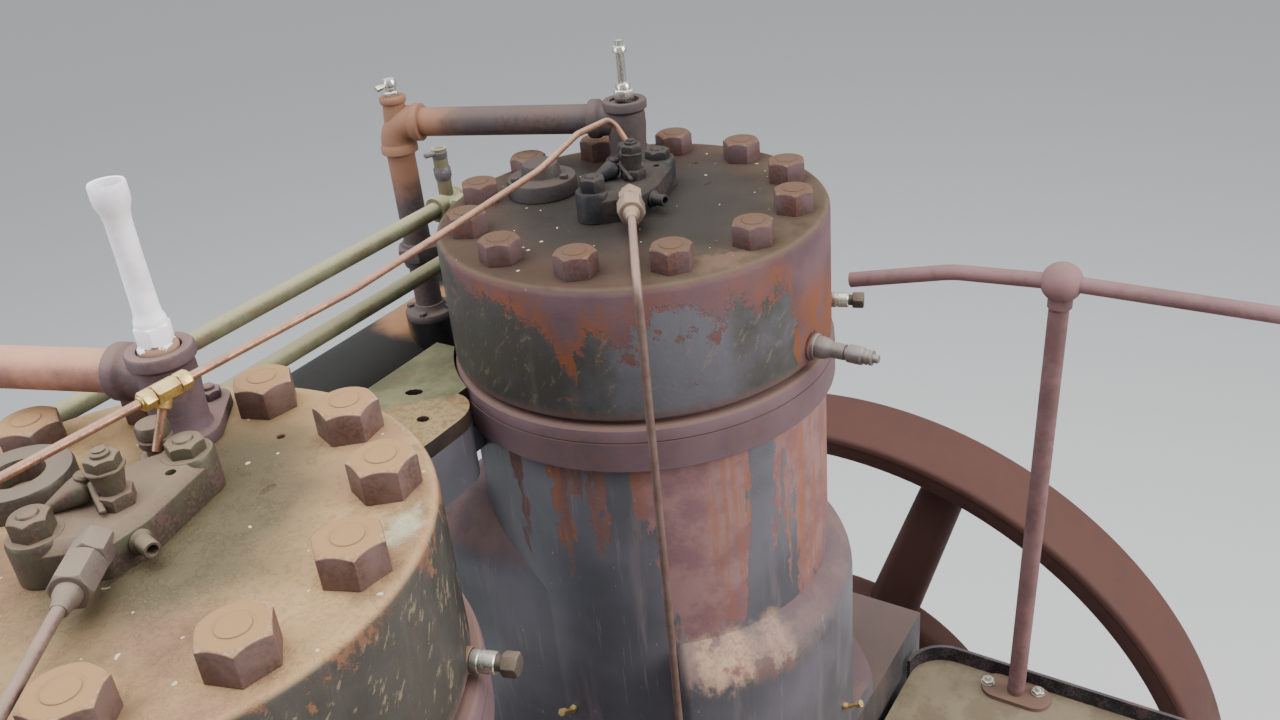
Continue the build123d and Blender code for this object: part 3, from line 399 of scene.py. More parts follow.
# The near head's top tones are lighter than the far head's: partly dust and oil, partly painted light for the
# brighter light that falls on the near head.
head_finishes = [
    head_iron(1, near_edge, ((164, 134, 96), (134, 104, 82), (112, 90, 66)),
              ((0.035, -0.035), (0.175, 0.115), 16.0, (80, 74, 56), 0.92),
              ((0.133, -0.238), (0.036, 0.018), 28.0, (178, 174, 146)),
              ((44, 43, 40), (74, 71, 65), (118, 90, 70), (98, 76, 66), (128, 84, 58)),
              ((0.0, 0.5), (1.0, 0.5)), near_painted_sheen, 0.8, (172, 140, 104)),
    head_iron(2, far_edge, ((80, 66, 52), (74, 57, 47), (60, 50, 42)),
              ((0.01, 0.03), (0.245, 0.215), 20.0, (44, 41, 38), 0.90),
              ((-0.14, -0.225), (0.060, 0.030), -32.0, (104, 82, 68)),
              ((66, 65, 60), (98, 97, 103), (104, 82, 86), (90, 70, 74), (124, 76, 52)),
              far_rusty, far_painted_sheen, 0.35, (104, 86, 72)),
]
for number in (1, 2):
    wear(head_finishes[number - 1], [f"cylinder_head_{number}"])
print("heads dressed")

# %% [markdown]
# The barrels carry glossy black paint, scarred by heat. Rust starts below the joint ring and runs
# down in streaks of different length. Two curves round the barrel say how far down the rust
# reaches and how orange it is at each place, so the streaks can be drawn one by one.
# The shoulder of the air passage is rubbed bare, where boots and tools land.

# %% Finish of the barrels
barrel_top = 2.515
streak_span = 0.36
shoulder_height = 2.185


def barrel_paint(number, reach_line, orange_line, worn_line):
    """Black paint with rust streaks placed one by one below the ring, and a rubbed passage shoulder."""
    finish = Finish(f"barrel_paint_{number}")
    share, height = round_the_drum(finish, number)
    cloudy = finish.noise(16.0, 5.0, roughness=0.62)
    ragged = finish.noise(60.0, 6.0, finish.about(stretch=(1, 1, 2.4)), 0.72)
    fine = finish.noise(170.0, 4.0, roughness=0.7)
    runs = finish.noise(26.0, 4.0, finish.about(stretch=(1, 1, 9.0)), 0.6)
    thin_runs = finish.noise(85.0, 4.0, finish.about(stretch=(1, 1, 16.0)), 0.65)
    black = finish.mix(finish.noise(5.0, 3.0).steps(0.35, 0.7), (80, 80, 86), (102, 100, 108))
    black = finish.mix(runs.steps(0.54, 0.72) * 0.5, black, (118, 110, 112))
    black = finish.mix(thin_runs.steps(0.6, 0.7) * 0.5, black, (128, 120, 118))
    scratched = finish.noise(48.0, 5.0, finish.about(turn=25.0, stretch=(1, 1, 2.2)), 0.75).steps(0.66, 0.72)
    black = finish.mix(scratched * 0.7, black, (170, 164, 168))

    depth = (barrel_top - height) / streak_span
    sway = (runs - 0.5) * 0.05 + share
    shifted = (ragged - 0.5) * 0.06 + sway
    reach = shifted.curve(reach_line)
    torn = (ragged - 0.5) * 0.75 + (cloudy - 0.5) * 0.45
    bare = (reach + torn - depth).steps(-0.02, 0.06)
    bare = bare * reach.steps(0.02, 0.1)
    # Painted shade: rust is kept off beyond the barrel's radius, so the lug under the plate stays black and
    # stands in for the dark shade in the gap there.
    local = finish.split(finish.about((cylinder_x[number - 1], 0, 0)))
    away = local[0] ** 2.0 + local[1] ** 2.0
    bare = bare * away.steps(0.11, 0.104)
    rust = finish.mix(cloudy.steps(0.38, 0.62), (142, 110, 108), (122, 90, 94))
    rust = finish.mix(share.steps(0.48, 0.44) * 0.75, rust, (102, 74, 68))
    heat = shifted.curve(orange_line) * thin_runs.steps(0.42, 0.6)
    rust = finish.mix(heat * 0.75, rust, (144, 90, 60))
    rust = finish.mix(fine.steps(0.58, 0.72) * 0.5, rust, (156, 124, 108))
    colour = finish.mix(bare, black, rust)
    crusts = ragged.steps(0.66, 0.72) * shifted.curve(orange_line).steps(0.45, 0.85)
    colour = finish.mix(crusts * depth.steps(1.1, 0.4), colour, (176, 132, 96))

    shoulder = (cloudy - 0.5) * 0.16 + (height - shoulder_height)
    torn_shoulder = (ragged - 0.5) * 0.1 + shoulder
    rub = torn_shoulder.near(-0.04, 0.066).steps(0.05, 0.95) * share.curve(worn_line)
    bare_tone = finish.mix(fine.steps(0.4, 0.68), (176, 144, 122), (150, 112, 98))
    bare_tone = finish.mix(ragged.steps(0.42, 0.62), bare_tone, (188, 158, 136))
    bare_tone = finish.mix(cloudy.steps(0.52, 0.6), bare_tone, (132, 98, 88))
    colour = finish.mix(rub, colour, bare_tone)
    looks_up = finish.up().steps(0.12, 0.55)
    dust = finish.mix(cloudy.steps(0.4, 0.62), (122, 100, 94), (108, 88, 90))
    colour = finish.mix(looks_up * (0.92 - rub), colour, dust)
    bare_all = finish.math("MAXIMUM", finish.math("MAXIMUM", bare, rub), looks_up)
    finish.paint(colour, finish.mix(bare_all, (0.44, 0.44, 0.44, 1), (0.84, 0.84, 0.84, 1)), shine=0.35)
    return finish.relief(fine * 0.5 + cloudy * 0.6 - bare * 0.5, 0.0014, 0.6)


far_reach = (
    (0.0, 0.0), (0.228, 0.0), (0.234, 0.45), (0.244, 0.50), (0.250, 0.0), (0.308, 0.0), (0.316, 0.48),
    (0.336, 0.56), (0.344, 0.05), (0.366, 0.20), (0.378, 0.04), (0.392, 0.44), (0.404, 0.34), (0.412, 0.0),
    (0.456, 0.0), (0.464, 0.34), (0.472, 0.30), (0.490, 0.85), (0.53, 0.95), (0.60, 0.92), (0.635, 0.75),
    (0.650, 0.0), (0.695, 0.0), (0.708, 0.60), (0.722, 0.10), (0.735, 0.85), (0.746, 0.30), (0.762, 0.95),
    (0.84, 0.9), (1.0, 0.3),
)
far_orange = (
    (0.0, 0.1), (0.22, 0.25), (0.25, 0.4), (0.31, 0.9), (0.345, 0.95), (0.36, 0.3), (0.42, 0.4), (0.47, 0.6),
    (0.50, 0.0), (0.56, 0.2), (0.60, 0.75), (0.64, 0.8), (0.72, 0.4), (0.76, 0.8), (0.82, 0.9), (1.0, 0.4),
)
far_worn = (
    (0.0, 0.0), (0.495, 0.0), (0.51, 0.35), (0.525, 0.5), (0.55, 1.0), (0.6, 1.0), (0.64, 0.55),
    (0.66, 0.75), (0.7, 0.35), (0.78, 0.1), (1.0, 0.0),
)
near_reach = ((0.0, 0.0), (0.25, 0.3), (0.4, 0.1), (0.6, 0.5), (0.75, 0.2), (0.88, 0.7), (1.0, 0.4))
near_orange = ((0.0, 0.2), (0.4, 0.4), (0.6, 0.7), (0.8, 0.6), (1.0, 0.4))
near_worn = ((0.0, 0.0), (0.5, 0.1), (0.6, 0.8), (0.75, 0.6), (1.0, 0.2))
wear(barrel_paint(1, near_reach, near_orange, near_worn), ["cylinder_1"])
wear(barrel_paint(2, far_reach, far_orange, far_worn), ["cylinder_2"])
print("barrels dressed")

# %% [markdown]
# Most other pieces share one story in different tones: a skin, a darker patch in it, dust on what
# faces up, rust that starts in spots, and a fine cast or rolled grain. One recipe with a few
# choices covers them, and each piece still gets its own colours, scale and gloss.

# %% The common recipe for weathered metal
def weathered(name, skin, patch, dust, spots, gloss=0.55, metal=0.0, scale=10.0, dust_share=0.7,
              spot_share=0.35, run=1.0, depth=0.0006, edge=None, stains=()):
    finish = Finish(name)
    place = finish.about(stretch=(1, 1, run))
    cloudy = finish.noise(scale, 4.0, place, 0.6)
    fine = finish.noise(scale * 9.0, 3.0, place)
    speck = finish.noise(scale * 34.0, 2.0)
    colour = finish.mix(cloudy.steps(0.38, 0.66), skin, patch)
    rusty = (cloudy * 0.5 + fine * 0.5).steps(0.5, 0.58) * spot_share
    colour = finish.mix(rusty, colour, spots)
    looks_up = (finish.up() + fine * 0.3).steps(0.45, 0.95)
    dusty = looks_up * dust_share
    colour = finish.mix(dusty, colour, dust)
    colour = finish.mix(speck.steps(0.58, 0.74) * 0.3, colour, dust)
    for centre, reach, stain_tone, share in stains:
        blot = finish.distance(centre, stretch=reach)
        inside = (cloudy * 0.8 + blot).steps(1.5, 1.05)
        colour = finish.mix(inside * share, colour, stain_tone)
    if edge:
        # The faced ring round a nut's top turns pale: partly worn iron, partly a painted highlight where that
        # ring catches the light.
        worn_edge_and_highlight = finish.up().near(0.78, 0.16) * fine.steps(0.42, 0.6)
        colour = finish.mix(worn_edge_and_highlight * 0.7, colour, edge)
    dull = finish.math("MAXIMUM", dusty, rusty)
    rough = gloss + dull * (0.88 - gloss)
    rough = finish.math("ADD", rough, (fine - 0.5) * 0.22, clamp=True)
    metallic = (1.0 - dull) * metal if metal else 0.0
    finish.paint(colour, rough, metallic, 0.5 if metal > 0.6 else 0.2)
    return finish.relief(fine * 0.6 + speck * 0.4, depth, 0.6)


# The last tone of each nut finish is the pale top ring: wear with a painted highlight.
near_nut_iron = weathered("near_nut_iron", (112, 90, 84), (80, 65, 62), (154, 120, 84), (130, 90, 70), 0.5,
                          0.2, 26.0, 0.94, 0.35, edge=(168, 144, 124))
far_nut_iron = weathered("far_nut_iron", (100, 80, 80), (78, 62, 62), (92, 70, 54), (128, 78, 54), 0.55,
                         0.15, 26.0, 0.9, 0.4, edge=(118, 94, 80))
ring_iron = weathered("ring_iron", (106, 85, 90), (92, 74, 79), (116, 92, 82), (122, 88, 76), 0.6, 0.0, 7.0,
                      0.8, 0.25)
plate_iron = weathered("plate_iron", (112, 108, 82), (92, 88, 66), (126, 112, 84), (140, 104, 76), 0.72,
                       0.0, 9.0, 0.5, 0.5)
injector_iron = weathered("injector_iron", (84, 76, 68), (68, 64, 60), (128, 114, 98), (108, 86, 72), 0.42,
                          0.35, 24.0, 0.65, 0.3)
pipe_rust = weathered("pipe_rust", (108, 84, 82), (86, 70, 72), (168, 128, 112), (128, 90, 74), 0.62, 0.1,
                      18.0, 0.7, 0.5)
pipe_green = weathered("pipe_green", (108, 108, 84), (86, 84, 66), (158, 152, 118), (122, 98, 72), 0.66,
                       0.0, 22.0, 0.8, 0.5)
manifold_black = weathered("manifold_black", (30, 30, 30), (24, 24, 24), (44, 42, 38), (52, 46, 40), 0.36,
                           0.0, 6.0, 0.5, 0.2,
                           stains=(((0.525, 0.55, 2.497), (0.11, 0.09, 0.06), (146, 106, 74), 0.85),))
copper_tube = weathered("copper", (160, 118, 94), (120, 88, 70), (176, 144, 122), (134, 108, 86), 0.36, 0.7,
                        40.0, 0.55, 0.3)
brass = weathered("brass", (206, 176, 106), (168, 138, 78), (224, 206, 158), (140, 112, 72), 0.3, 0.85,
                  60.0, 0.4, 0.25, depth=0.0003)
line_steel = weathered("line_steel", (124, 102, 94), (98, 82, 78), (162, 138, 122), (128, 96, 78), 0.45,
                       0.35, 34.0, 0.5, 0.4)
nickel = weathered("nickel", (206, 204, 194), (164, 160, 152), (216, 208, 184), (132, 116, 100), 0.22, 0.95,
                   60.0, 0.3, 0.25, depth=0.0002)
shaft_steel = weathered("shaft_steel", (140, 136, 130), (112, 108, 104), (132, 120, 106), (122, 92, 72),
                        0.35, 0.85, 20.0, 0.2, 0.3, depth=0.0002)
deck_steel = weathered("deck_steel", (122, 111, 90), (76, 66, 54), (130, 118, 96), (88, 66, 52), 0.66, 0.05,
                       17.0, 0.55, 0.7, depth=0.0014)
rim_paint = weathered("rim_paint", (38, 37, 42), (56, 54, 60), (104, 94, 94), (112, 84, 78), 0.28, 0.0,
                      20.0, 0.45, 0.35)
rail_paint = weathered("rail_paint", (134, 102, 102), (114, 88, 88), (130, 102, 99), (104, 76, 70), 0.62,
                       0.0, 9.0, 0.5, 0.3,
                       stains=(((0.864, -0.532, 1.685), (0.085, 0.085, 0.014), (104, 84, 68), 0.8),))
base_paint = weathered("base_paint", (66, 64, 66), (84, 78, 78), (104, 86, 80), (104, 80, 70), 0.5, 0.0,
                       5.0, 0.75, 0.35, run=2.5)
wheel_iron = weathered("wheel_iron", (84, 56, 50), (74, 51, 48), (88, 60, 52), (92, 60, 48), 0.62, 0.05,
                       3.0, 0.4, 0.3)
pump_iron = weathered("pump_iron", (76, 70, 66), (60, 56, 54), (114, 102, 90), (106, 80, 66), 0.45, 0.3,
                      18.0, 0.6, 0.35)
print("common finishes mixed")

# %% [markdown]
# Two finishes have their own story. The sight tube was brushed white, and the paint has chipped
# near its foot, where rust shows. The foundation is cast concrete with a cement skin, darker oil
# stains at the top edge and small air holes.

# %% Chipped white paint and concrete
def chipped_white():
    finish = Finish("white_paint")
    height = finish.split(finish.place)[2]
    foot = head_top + 0.113
    chips = finish.noise(55.0, 5.0, roughness=0.7)
    low = height.steps(foot + 0.012, foot - 0.004)
    bare = (chips + low * 0.34).steps(0.68, 0.71)
    white = finish.mix(finish.noise(20.0).steps(0.4, 0.65), (253, 250, 255), (232, 226, 230))
    finish.paint(finish.mix(bare, white, (150, 118, 98)),
                 finish.mix(bare, (0.4, 0.4, 0.4, 1), (0.8, 0.8, 0.8, 1)))
    return finish.relief(chips - bare * 0.5, 0.0005, 0.6)


def cast_concrete():
    finish = Finish("concrete")
    height = finish.split(finish.place)[2]
    cloudy = finish.noise(4.0, 5.0, roughness=0.6)
    sand = finish.noise(220.0, 2.0)
    holes = finish.noise(70.0, 1.0).steps(0.72, 0.75)
    skin = finish.mix(cloudy.steps(0.35, 0.68), (176, 170, 160), (142, 136, 128))
    oil = (height + cloudy * 0.3).steps(0.42, 0.62) * 0.65
    skin = finish.mix(oil, skin, (92, 84, 76))
    finish.paint(finish.mix(holes, skin, (84, 80, 76)), 0.92 - oil * 0.3)
    return finish.relief(sand * 0.4 - holes, 0.002, 0.5)


white_paint = chipped_white()
concrete = cast_concrete()


def each(*stems):
    """The names of pieces that come once for each cylinder."""
    return [f"{stem}_{number}" for stem in stems for number in (1, 2)]


wardrobe = (
    (ring_iron, each("joint_ring")), (near_nut_iron, ["head_nuts_1"]), (far_nut_iron, ["head_nuts_2"]),
    (plate_iron, each("side_plate")), (pipe_green, ["upper_pipe", "lower_pipe"]),
    (pump_iron, ["fuel_pumps"]),
    (injector_iron, [*each("injector"), "side_nipples", "start_valve_collar", "start_valve_cap"]),
    (pipe_rust, each("water_tee", "outlet_pipe")), (copper_tube, ["leak_off_pipe"]),
    (line_steel, ["fuel_lines"]), (manifold_black, ["exhaust_manifold", *each("exhaust_elbow")]),
    (brass, ["leak_off_tee", "oil_fittings"]), (nickel, ["relief_cocks", "glass_gauge"]),
    (shaft_steel, ["crankshaft"]), (white_paint, ["sight_tube"]), (deck_steel, ["platform_deck"]),
    (rim_paint, ["deck_rim", "platform_beams", "platform_legs", "deck_brackets"]),
    (rail_paint, ["rail_post_inner", "rail_posts_outer", "handrail"]), (concrete, ["foundation_block"]),
    (base_paint, ["base_frame", "drive_end_cover", "free_end_cover", "governor"]),
    (base_paint, each("crankcase", "crankcase_door", "air_valve_cover")), (wheel_iron, ["flywheel"]),
)
for finish, names in wardrobe:
    wear(finish, names)
print("nodes dressed:", sum(len(names) for _, names in wardrobe) + 4, "of", len(nodes))

# %% [markdown]
# Almost every small piece of this engine came off a lathe or out of a hexagon bar, so two helpers
# do most of the modelling. The first grows a profile from a single point by extruding it step by
# step, then spins it round an axis. The second starts from a six-sided cylinder and cuts its
# corners with a turned cone, as a real nut is faced. Profiles are in millimetres, as on a drawing.

# %% Lathe and hexagon helpers
def only(piece):
    """Makes one piece the only selected and active one."""
    bpy.ops.object.select_all(action="DESELECT")
    piece.select_set(True)
    bpy.context.view_layer.objects.active = piece
    return piece


def settle(piece):
    """Moves the piece's place, turn and size into its mesh."""
    only(piece)
    bpy.ops.object.transform_apply(location=True, rotation=True, scale=True)
    return piece


def stand(piece, foot, way):
    """Puts a piece that was made at the origin, pointing up, on its foot and along its way."""
    if Vector(way).normalized().z < 0.9999:
        piece.rotation_euler = Vector(way).to_track_quat("Z", "Y").to_euler()
    piece.location = foot
    return settle(piece)


def change(piece, kind, **settings):
    """Adds one modifier and applies it."""
    only(piece)
    modifier = piece.modifiers.new("change", kind)
    for key, value in settings.items():
        setattr(modifier, key, value)
    bpy.ops.object.modifier_apply(modifier=modifier.name)
    return piece


def soften(piece, width, segments=2, angle=28.0):
    """Rounds the sharp edges by a width in millimetres."""
    return change(piece, "BEVEL", width=width / 1000, segments=segments, limit_method="ANGLE",
                  angle_limit=math.radians(angle))


def carve(piece, tool, operation="DIFFERENCE"):
    """Cuts a piece with a tool, which is then thrown away."""
    change(piece, "BOOLEAN", object=tool, operation=operation, solver="EXACT")
    bpy.data.objects.remove(tool, do_unlink=True)
    return piece


def spun(steps, angle, axis):
    """Spins what is drawn round an axis, closes the seams and leaves edit mode."""
    bpy.ops.mesh.select_all(action="SELECT")
    bpy.ops.mesh.spin(steps=steps, angle=angle, center=(0, 0, 0), axis=axis)
    bpy.ops.mesh.select_all(action="SELECT")
    bpy.ops.mesh.remove_doubles(threshold=0.00001)
    bpy.ops.mesh.normals_make_consistent(inside=False)
    bpy.ops.object.mode_set(mode="OBJECT")


def turned(name, profile, foot=(0, 0, 0), way=(0, 0, 1), steps=40):
    """Spins a profile of (radius, height) points round an axis."""
    bpy.ops.object.select_all(action="DESELECT")
    bpy.ops.mesh.primitive_plane_add(size=0.001)
    piece = bpy.context.object
    piece.name = name
    bpy.ops.object.mode_set(mode="EDIT")
    bpy.ops.mesh.select_mode(type="VERT")
    bpy.ops.mesh.merge(type="CENTER")
    bpy.ops.transform.translate(value=(profile[0][0] / 1000, 0, profile[0][1] / 1000))
    for (radius, height), (next_radius, next_height) in zip(profile, profile[1:]):
        move = ((next_radius - radius) / 1000, 0, (next_height - height) / 1000)
        bpy.ops.mesh.extrude_region_move(TRANSFORM_OT_translate={"value": move})
    spun(steps, 2 * math.pi, (0, 0, 1))
    return stand(piece, foot, way)


def bar(name, radius, foot, tip, edge=1.0, steps=28):
    """A round bar between two places, with eased ends."""
    run = Vector(tip) - Vector(foot)
    length = run.length * 1000
    profile = (
        (0, 0), (radius - edge, 0), (radius, edge), (radius, length - edge), (radius - edge, length),
        (0, length),
    )
    return turned(name, profile, foot, run, steps)


def hexagon(name, flats, height, foot, way=(0, 0, 1), turn=0.0, crown=0.12, both_ends=False):
    """A hexagon across its flats, with the corners faced round at the free end."""
    radius = flats / math.sqrt(3)
    bpy.ops.object.select_all(action="DESELECT")
    bpy.ops.mesh.primitive_cylinder_add(vertices=6, radius=radius / 1000, depth=height / 1000,
                                        location=(0, 0, height / 2000), rotation=(0, 0, math.radians(turn)))
    nut = settle(bpy.context.object)
    nut.name = name
    rise = flats * crown
    low = ((0, 0), (flats * 0.47, 0), (radius + 1, rise)) if both_ends else ((0, -1), (radius + 1, -1))
    facing_cone = turned("facing_cone",
                         (*low, (radius + 1, height - rise), (flats * 0.47, height), (0, height)))
    carve(nut, facing_cone, "INTERSECT")
    soften(nut, min(0.9, flats * 0.02), 2, 24.0)
    return stand(nut, foot, way)


def lift(height):
    """A step straight up, in metres."""
    return Vector((0, 0, height))


def block(name, size, centre):
    """A box of a size about its centre, in metres."""
    bpy.ops.object.select_all(action="DESELECT")
    bpy.ops.mesh.primitive_cube_add(size=1.0, location=centre)
    piece = bpy.context.object
    piece.name = name
    piece.scale = size
    return settle(piece)


def pick_edges(piece, wanted):
    """Selects the edges whose two ends pass a test, and stays in edit mode for the next tool."""
    only(piece)
    bpy.ops.object.mode_set(mode="EDIT")
    bpy.ops.mesh.select_mode(type="EDGE")
    bpy.ops.mesh.select_all(action="DESELECT")
    bpy.ops.object.mode_set(mode="OBJECT")
    for edge in piece.data.edges:
        first, second = (piece.data.vertices[index].co for index in edge.vertices)
        edge.select = wanted(first, second)
    bpy.ops.object.mode_set(mode="EDIT")


def joined(name, parts):
    """Joins the parts into one piece."""
    only(parts[0])
    for part in parts[1:]:
        part.select_set(True)
    bpy.ops.object.join()
    parts[0].name = name
    return parts[0]


def wrapped(name, discs, depth, sides):
    """The tight band round some discs, each given as its centre and its radius in millimetres."""
    cores = []
    for centre, radius in discs:
        bpy.ops.object.select_all(action="DESELECT")
        bpy.ops.mesh.primitive_cylinder_add(vertices=sides, radius=radius / 1000, depth=depth,
                                            location=centre)
        cores.append(settle(bpy.context.object))
    body = only(joined(name, cores))
    bpy.ops.object.mode_set(mode="EDIT")
    bpy.ops.mesh.select_all(action="SELECT")
    bpy.ops.mesh.convex_hull()
    bpy.ops.mesh.select_all(action="SELECT")
    bpy.ops.mesh.dissolve_limited(angle_limit=math.radians(1.0))
    bpy.ops.object.mode_set(mode="OBJECT")
    return body


def copy_of(piece):
    """A copy with its own mesh."""
    copy = piece.copy()
    copy.data = piece.data.copy()
    bpy.context.collection.objects.link(copy)
    return copy


def twin(piece, place, turn=0.0, way=None):
    """A copy that is turned about Z by degrees and put in place."""
    copy = copy_of(piece)
    copy.data.transform(Matrix.Rotation(math.radians(turn), 4, "Z"))
    return stand(copy, place, way or (0, 0, 1))


def discard(piece):
    bpy.data.objects.remove(piece, do_unlink=True)


def hand_over(piece, finish, stands_for=(), body="engine", smooth=35.0):
    """Finishes a piece: smooth shading, material, body and the CAD nodes it stands for."""
    only(piece)
    bpy.ops.object.shade_smooth_by_angle(angle=math.radians(smooth))
    piece.data.materials.clear()
    piece.data.materials.append(finish)
    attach(piece, body)
    if stands_for:
        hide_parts(*stands_for)
    return piece


def on_head(number, x, y, rise=0.0):
    """A place on a head: millimetres from the drum's axis, and above its top face."""
    return Vector((cylinder_x[number - 1] + x / 1000, y / 1000, head_top + rise / 1000))


def outward(angle):
    """A level direction, by its angle from +X."""
    return Vector((math.cos(math.radians(angle)), math.sin(math.radians(angle)), 0.0))


print("modelling helpers ready")

# %% [markdown]
# Each head is a heavy turned drum. Its rim was once sharp and is now rounded by years of spanners
# and boots, so the profile carries a soft lip. A small oil hole and a chipped pit in the top face
# are cut afterwards with a turned tool, because a clean cut keeps the surrounding face flat.
# The round bosses for the cock, the side nipple and the water branches stand on its wall.

# %% Drum heads
cock_angle, cock_direction, cock_depth = -56.0, -71.0, 192.0
nipple_angle, nipple_depth = -91.5, 178.0
branches = ((-34.0, 30.0), (60.0, 122.0))
head_profile = (
    (0, -203), (295, -203), (299, -201.5), (300, -199), (300, -14), (299.5, -9.5), (297.8, -5.5), (295, -2.6),
    (291, -0.8), (285, 0), (0, 0),
)


def cock_place(number):
    """Where the relief cock leaves the drum's wall."""
    return on_head(number, 0, 0, -cock_depth) + outward(cock_angle) * 0.300


def drum_head(number):
    drum = turned(f"drum_head_{number}", head_profile, on_head(number, 0, 0), steps=144)
    oil_hole = ((0, -16), (4.6, -16), (4.6, -1.2), (6.5, 1), (0, 1))
    carve(drum, turned("oil_hole", oil_hole, on_head(number, 199, 0)))
    pit = turned("pit", ((0, -4.5), (4, -3.5), (8, -1.2), (10, 1), (0, 1)), steps=7)
    pit.scale = (1.25, 0.6, 1.0)
    carve(drum, stand(settle(pit), on_head(number, 120, -66), (0, 0, 1)))
    cock_root = cock_place(number)
    cock_boss = bar("cock_boss", 14.5, cock_root - outward(cock_direction) * 0.012,
                    cock_root + outward(cock_direction) * 0.004)
    nipple_root = on_head(number, 0, 0, -nipple_depth) + outward(nipple_angle) * 0.290
    nipple_boss = bar("nipple_boss", 22.0, nipple_root, nipple_root + outward(nipple_angle) * 0.015, 2.0)
    bosses = [cock_boss, nipple_boss]
    for offset, drop in branches:
        root = on_head(number, offset, 276, -drop)
        bosses.append(bar("branch_boss", 22.0, root, root + Vector((0, 0.0285, 0)), 2.5))
    return joined(f"drum_head_{number}", [drum] + bosses)


for number in (1, 2):
    hand_over(drum_head(number), head_finishes[number - 1], [f"cylinder_head_{number}"],
              smooth=30)
print("drum heads done")

# %% [markdown]
# The ring that clamps the joint is machined all round. A thin groove runs below its rounded upper
# edge, and the lower edge is left sharp. One closed profile, spun round the barrel's axis, gives it
# all, with the spigot that carries the drum.

# %% Joint rings
ring_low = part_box("joint_ring_1")[0].z
ring_radii = ((1, 313.0), (2, 305.0))


def joint_ring(number, radius):
    profile = (
        (279, 0), (radius - 1.5, 0), (radius, 1.5), (radius, 47.4), (radius - 3.6, 47.9),
        (radius - 3.6, 49.3), (radius - 0.2, 49.8), (radius - 0.8, 61), (radius - 2.6, 67),
        (radius - 6.0, 70.6), (radius - 10.5, 72), (284, 72), (284, 82), (279, 82), (279, 0),
    )
    place = Vector((cylinder_x[number - 1], 0.0, ring_low))
    return turned(f"clamp_ring_{number}", profile, place, steps=144)


for number, radius in ring_radii:
    hand_over(joint_ring(number, radius), ring_iron, [f"joint_ring_{number}"], smooth=25)
print("clamp rings done")

# %% [markdown]
# Twelve nuts hold each head, and they are the engine's strongest pattern. A real nut of this age
# is faced round at the top, its corners are worn, and the stud's end shows as a faint disc just
# proud of the face. One nut is modelled, then copied and turned to its own listed angle, since
# no two spanners stopped at the same place.

# %% Head nuts
nut_circle = 249.5
nut_turns = ((4, 28, 15, 41, 7, 33, 50, 19, 2, 37, 24, 55), (12, 0, 38, 26, 9, 48, 21, 5, 33, 17, 44, 29))


def head_nut(flats, height):
    """One nut with the stud's end in a worn hollow."""
    nut = hexagon("head_nut", flats, height - 1.2, (0, 0, 0), crown=0.09)
    stud = ((0, -3), (15.5, -3), (15.5, -1.2), (15.0, -0.6), (13.4, -0.2), (3, -0.3), (0, -0.9))
    stud_end = turned("stud_end", stud, (0.0006, 0, height / 1000), steps=32)
    hollow = ((14.5, 1), (14.5, -1.7), (16.6, -1.7), (18.6, -1.3), (19.5, 1), (14.5, 1))
    gap_ring = turned("gap_ring", hollow, (0.0006, 0, height / 1000), steps=32)
    return joined("head_nut", [carve(nut, gap_ring), stud_end])


for number, flats, height in ((1, 62.0, 38.6), (2, 54.0, 34.5)):
    pattern = head_nut(flats, height)
    set_of_nuts = []
    for index in range(12):
        angle = 15.0 + index * 30.0
        spot = on_head(number, 0, 0) + outward(angle) * (nut_circle / 1000)
        set_of_nuts.append(twin(pattern, spot, angle + nut_turns[number - 1][index]))
    ring_of_nuts = joined(f"nuts_of_head_{number}", set_of_nuts)
    iron = (near_nut_iron, far_nut_iron)[number - 1]
    hand_over(ring_of_nuts, iron, [f"head_nuts_{number}"], smooth=30)
    discard(pattern)

# %% [markdown]
# The nozzle holder in the middle of each head is a forged clamp with a flat top and sloping
# shoulders. Its outline is the tight band round three discs, so three cylinders are joined and
# wrapped with a convex hull, and the top edge is then bevelled wide. Two nuts hold it down, a stepped
# spindle stands in the middle, a cone-shaped priming valve with a pin lies in front of it, and an
# open stub and the fuel fitting leave its front side.

# %% Nozzle holders
lobes = ((-66.0, 21.0, 26.0), (90.0, 3.0, 26.0), (0.0, 0.0, 46.0), (50.0, 22.0, 26.0), (-38.0, -32.0, 14.0))
fuel_angles = (-144.3, -146.3)


def clamp_body(number):
    body = wrapped("clamp_body", [(on_head(number, x, y, 22.5), radius) for x, y, radius in lobes], 0.045, 32)
    top = on_head(number, 0, 0, 44.0).z
    pick_edges(body, lambda first, second: min(first.z, second.z) > top)
    bpy.ops.mesh.bevel(offset=0.011, segments=1, profile=0.5)
    bpy.ops.object.mode_set(mode="OBJECT")
    return soften(body, 1.2, 2, 20.0)


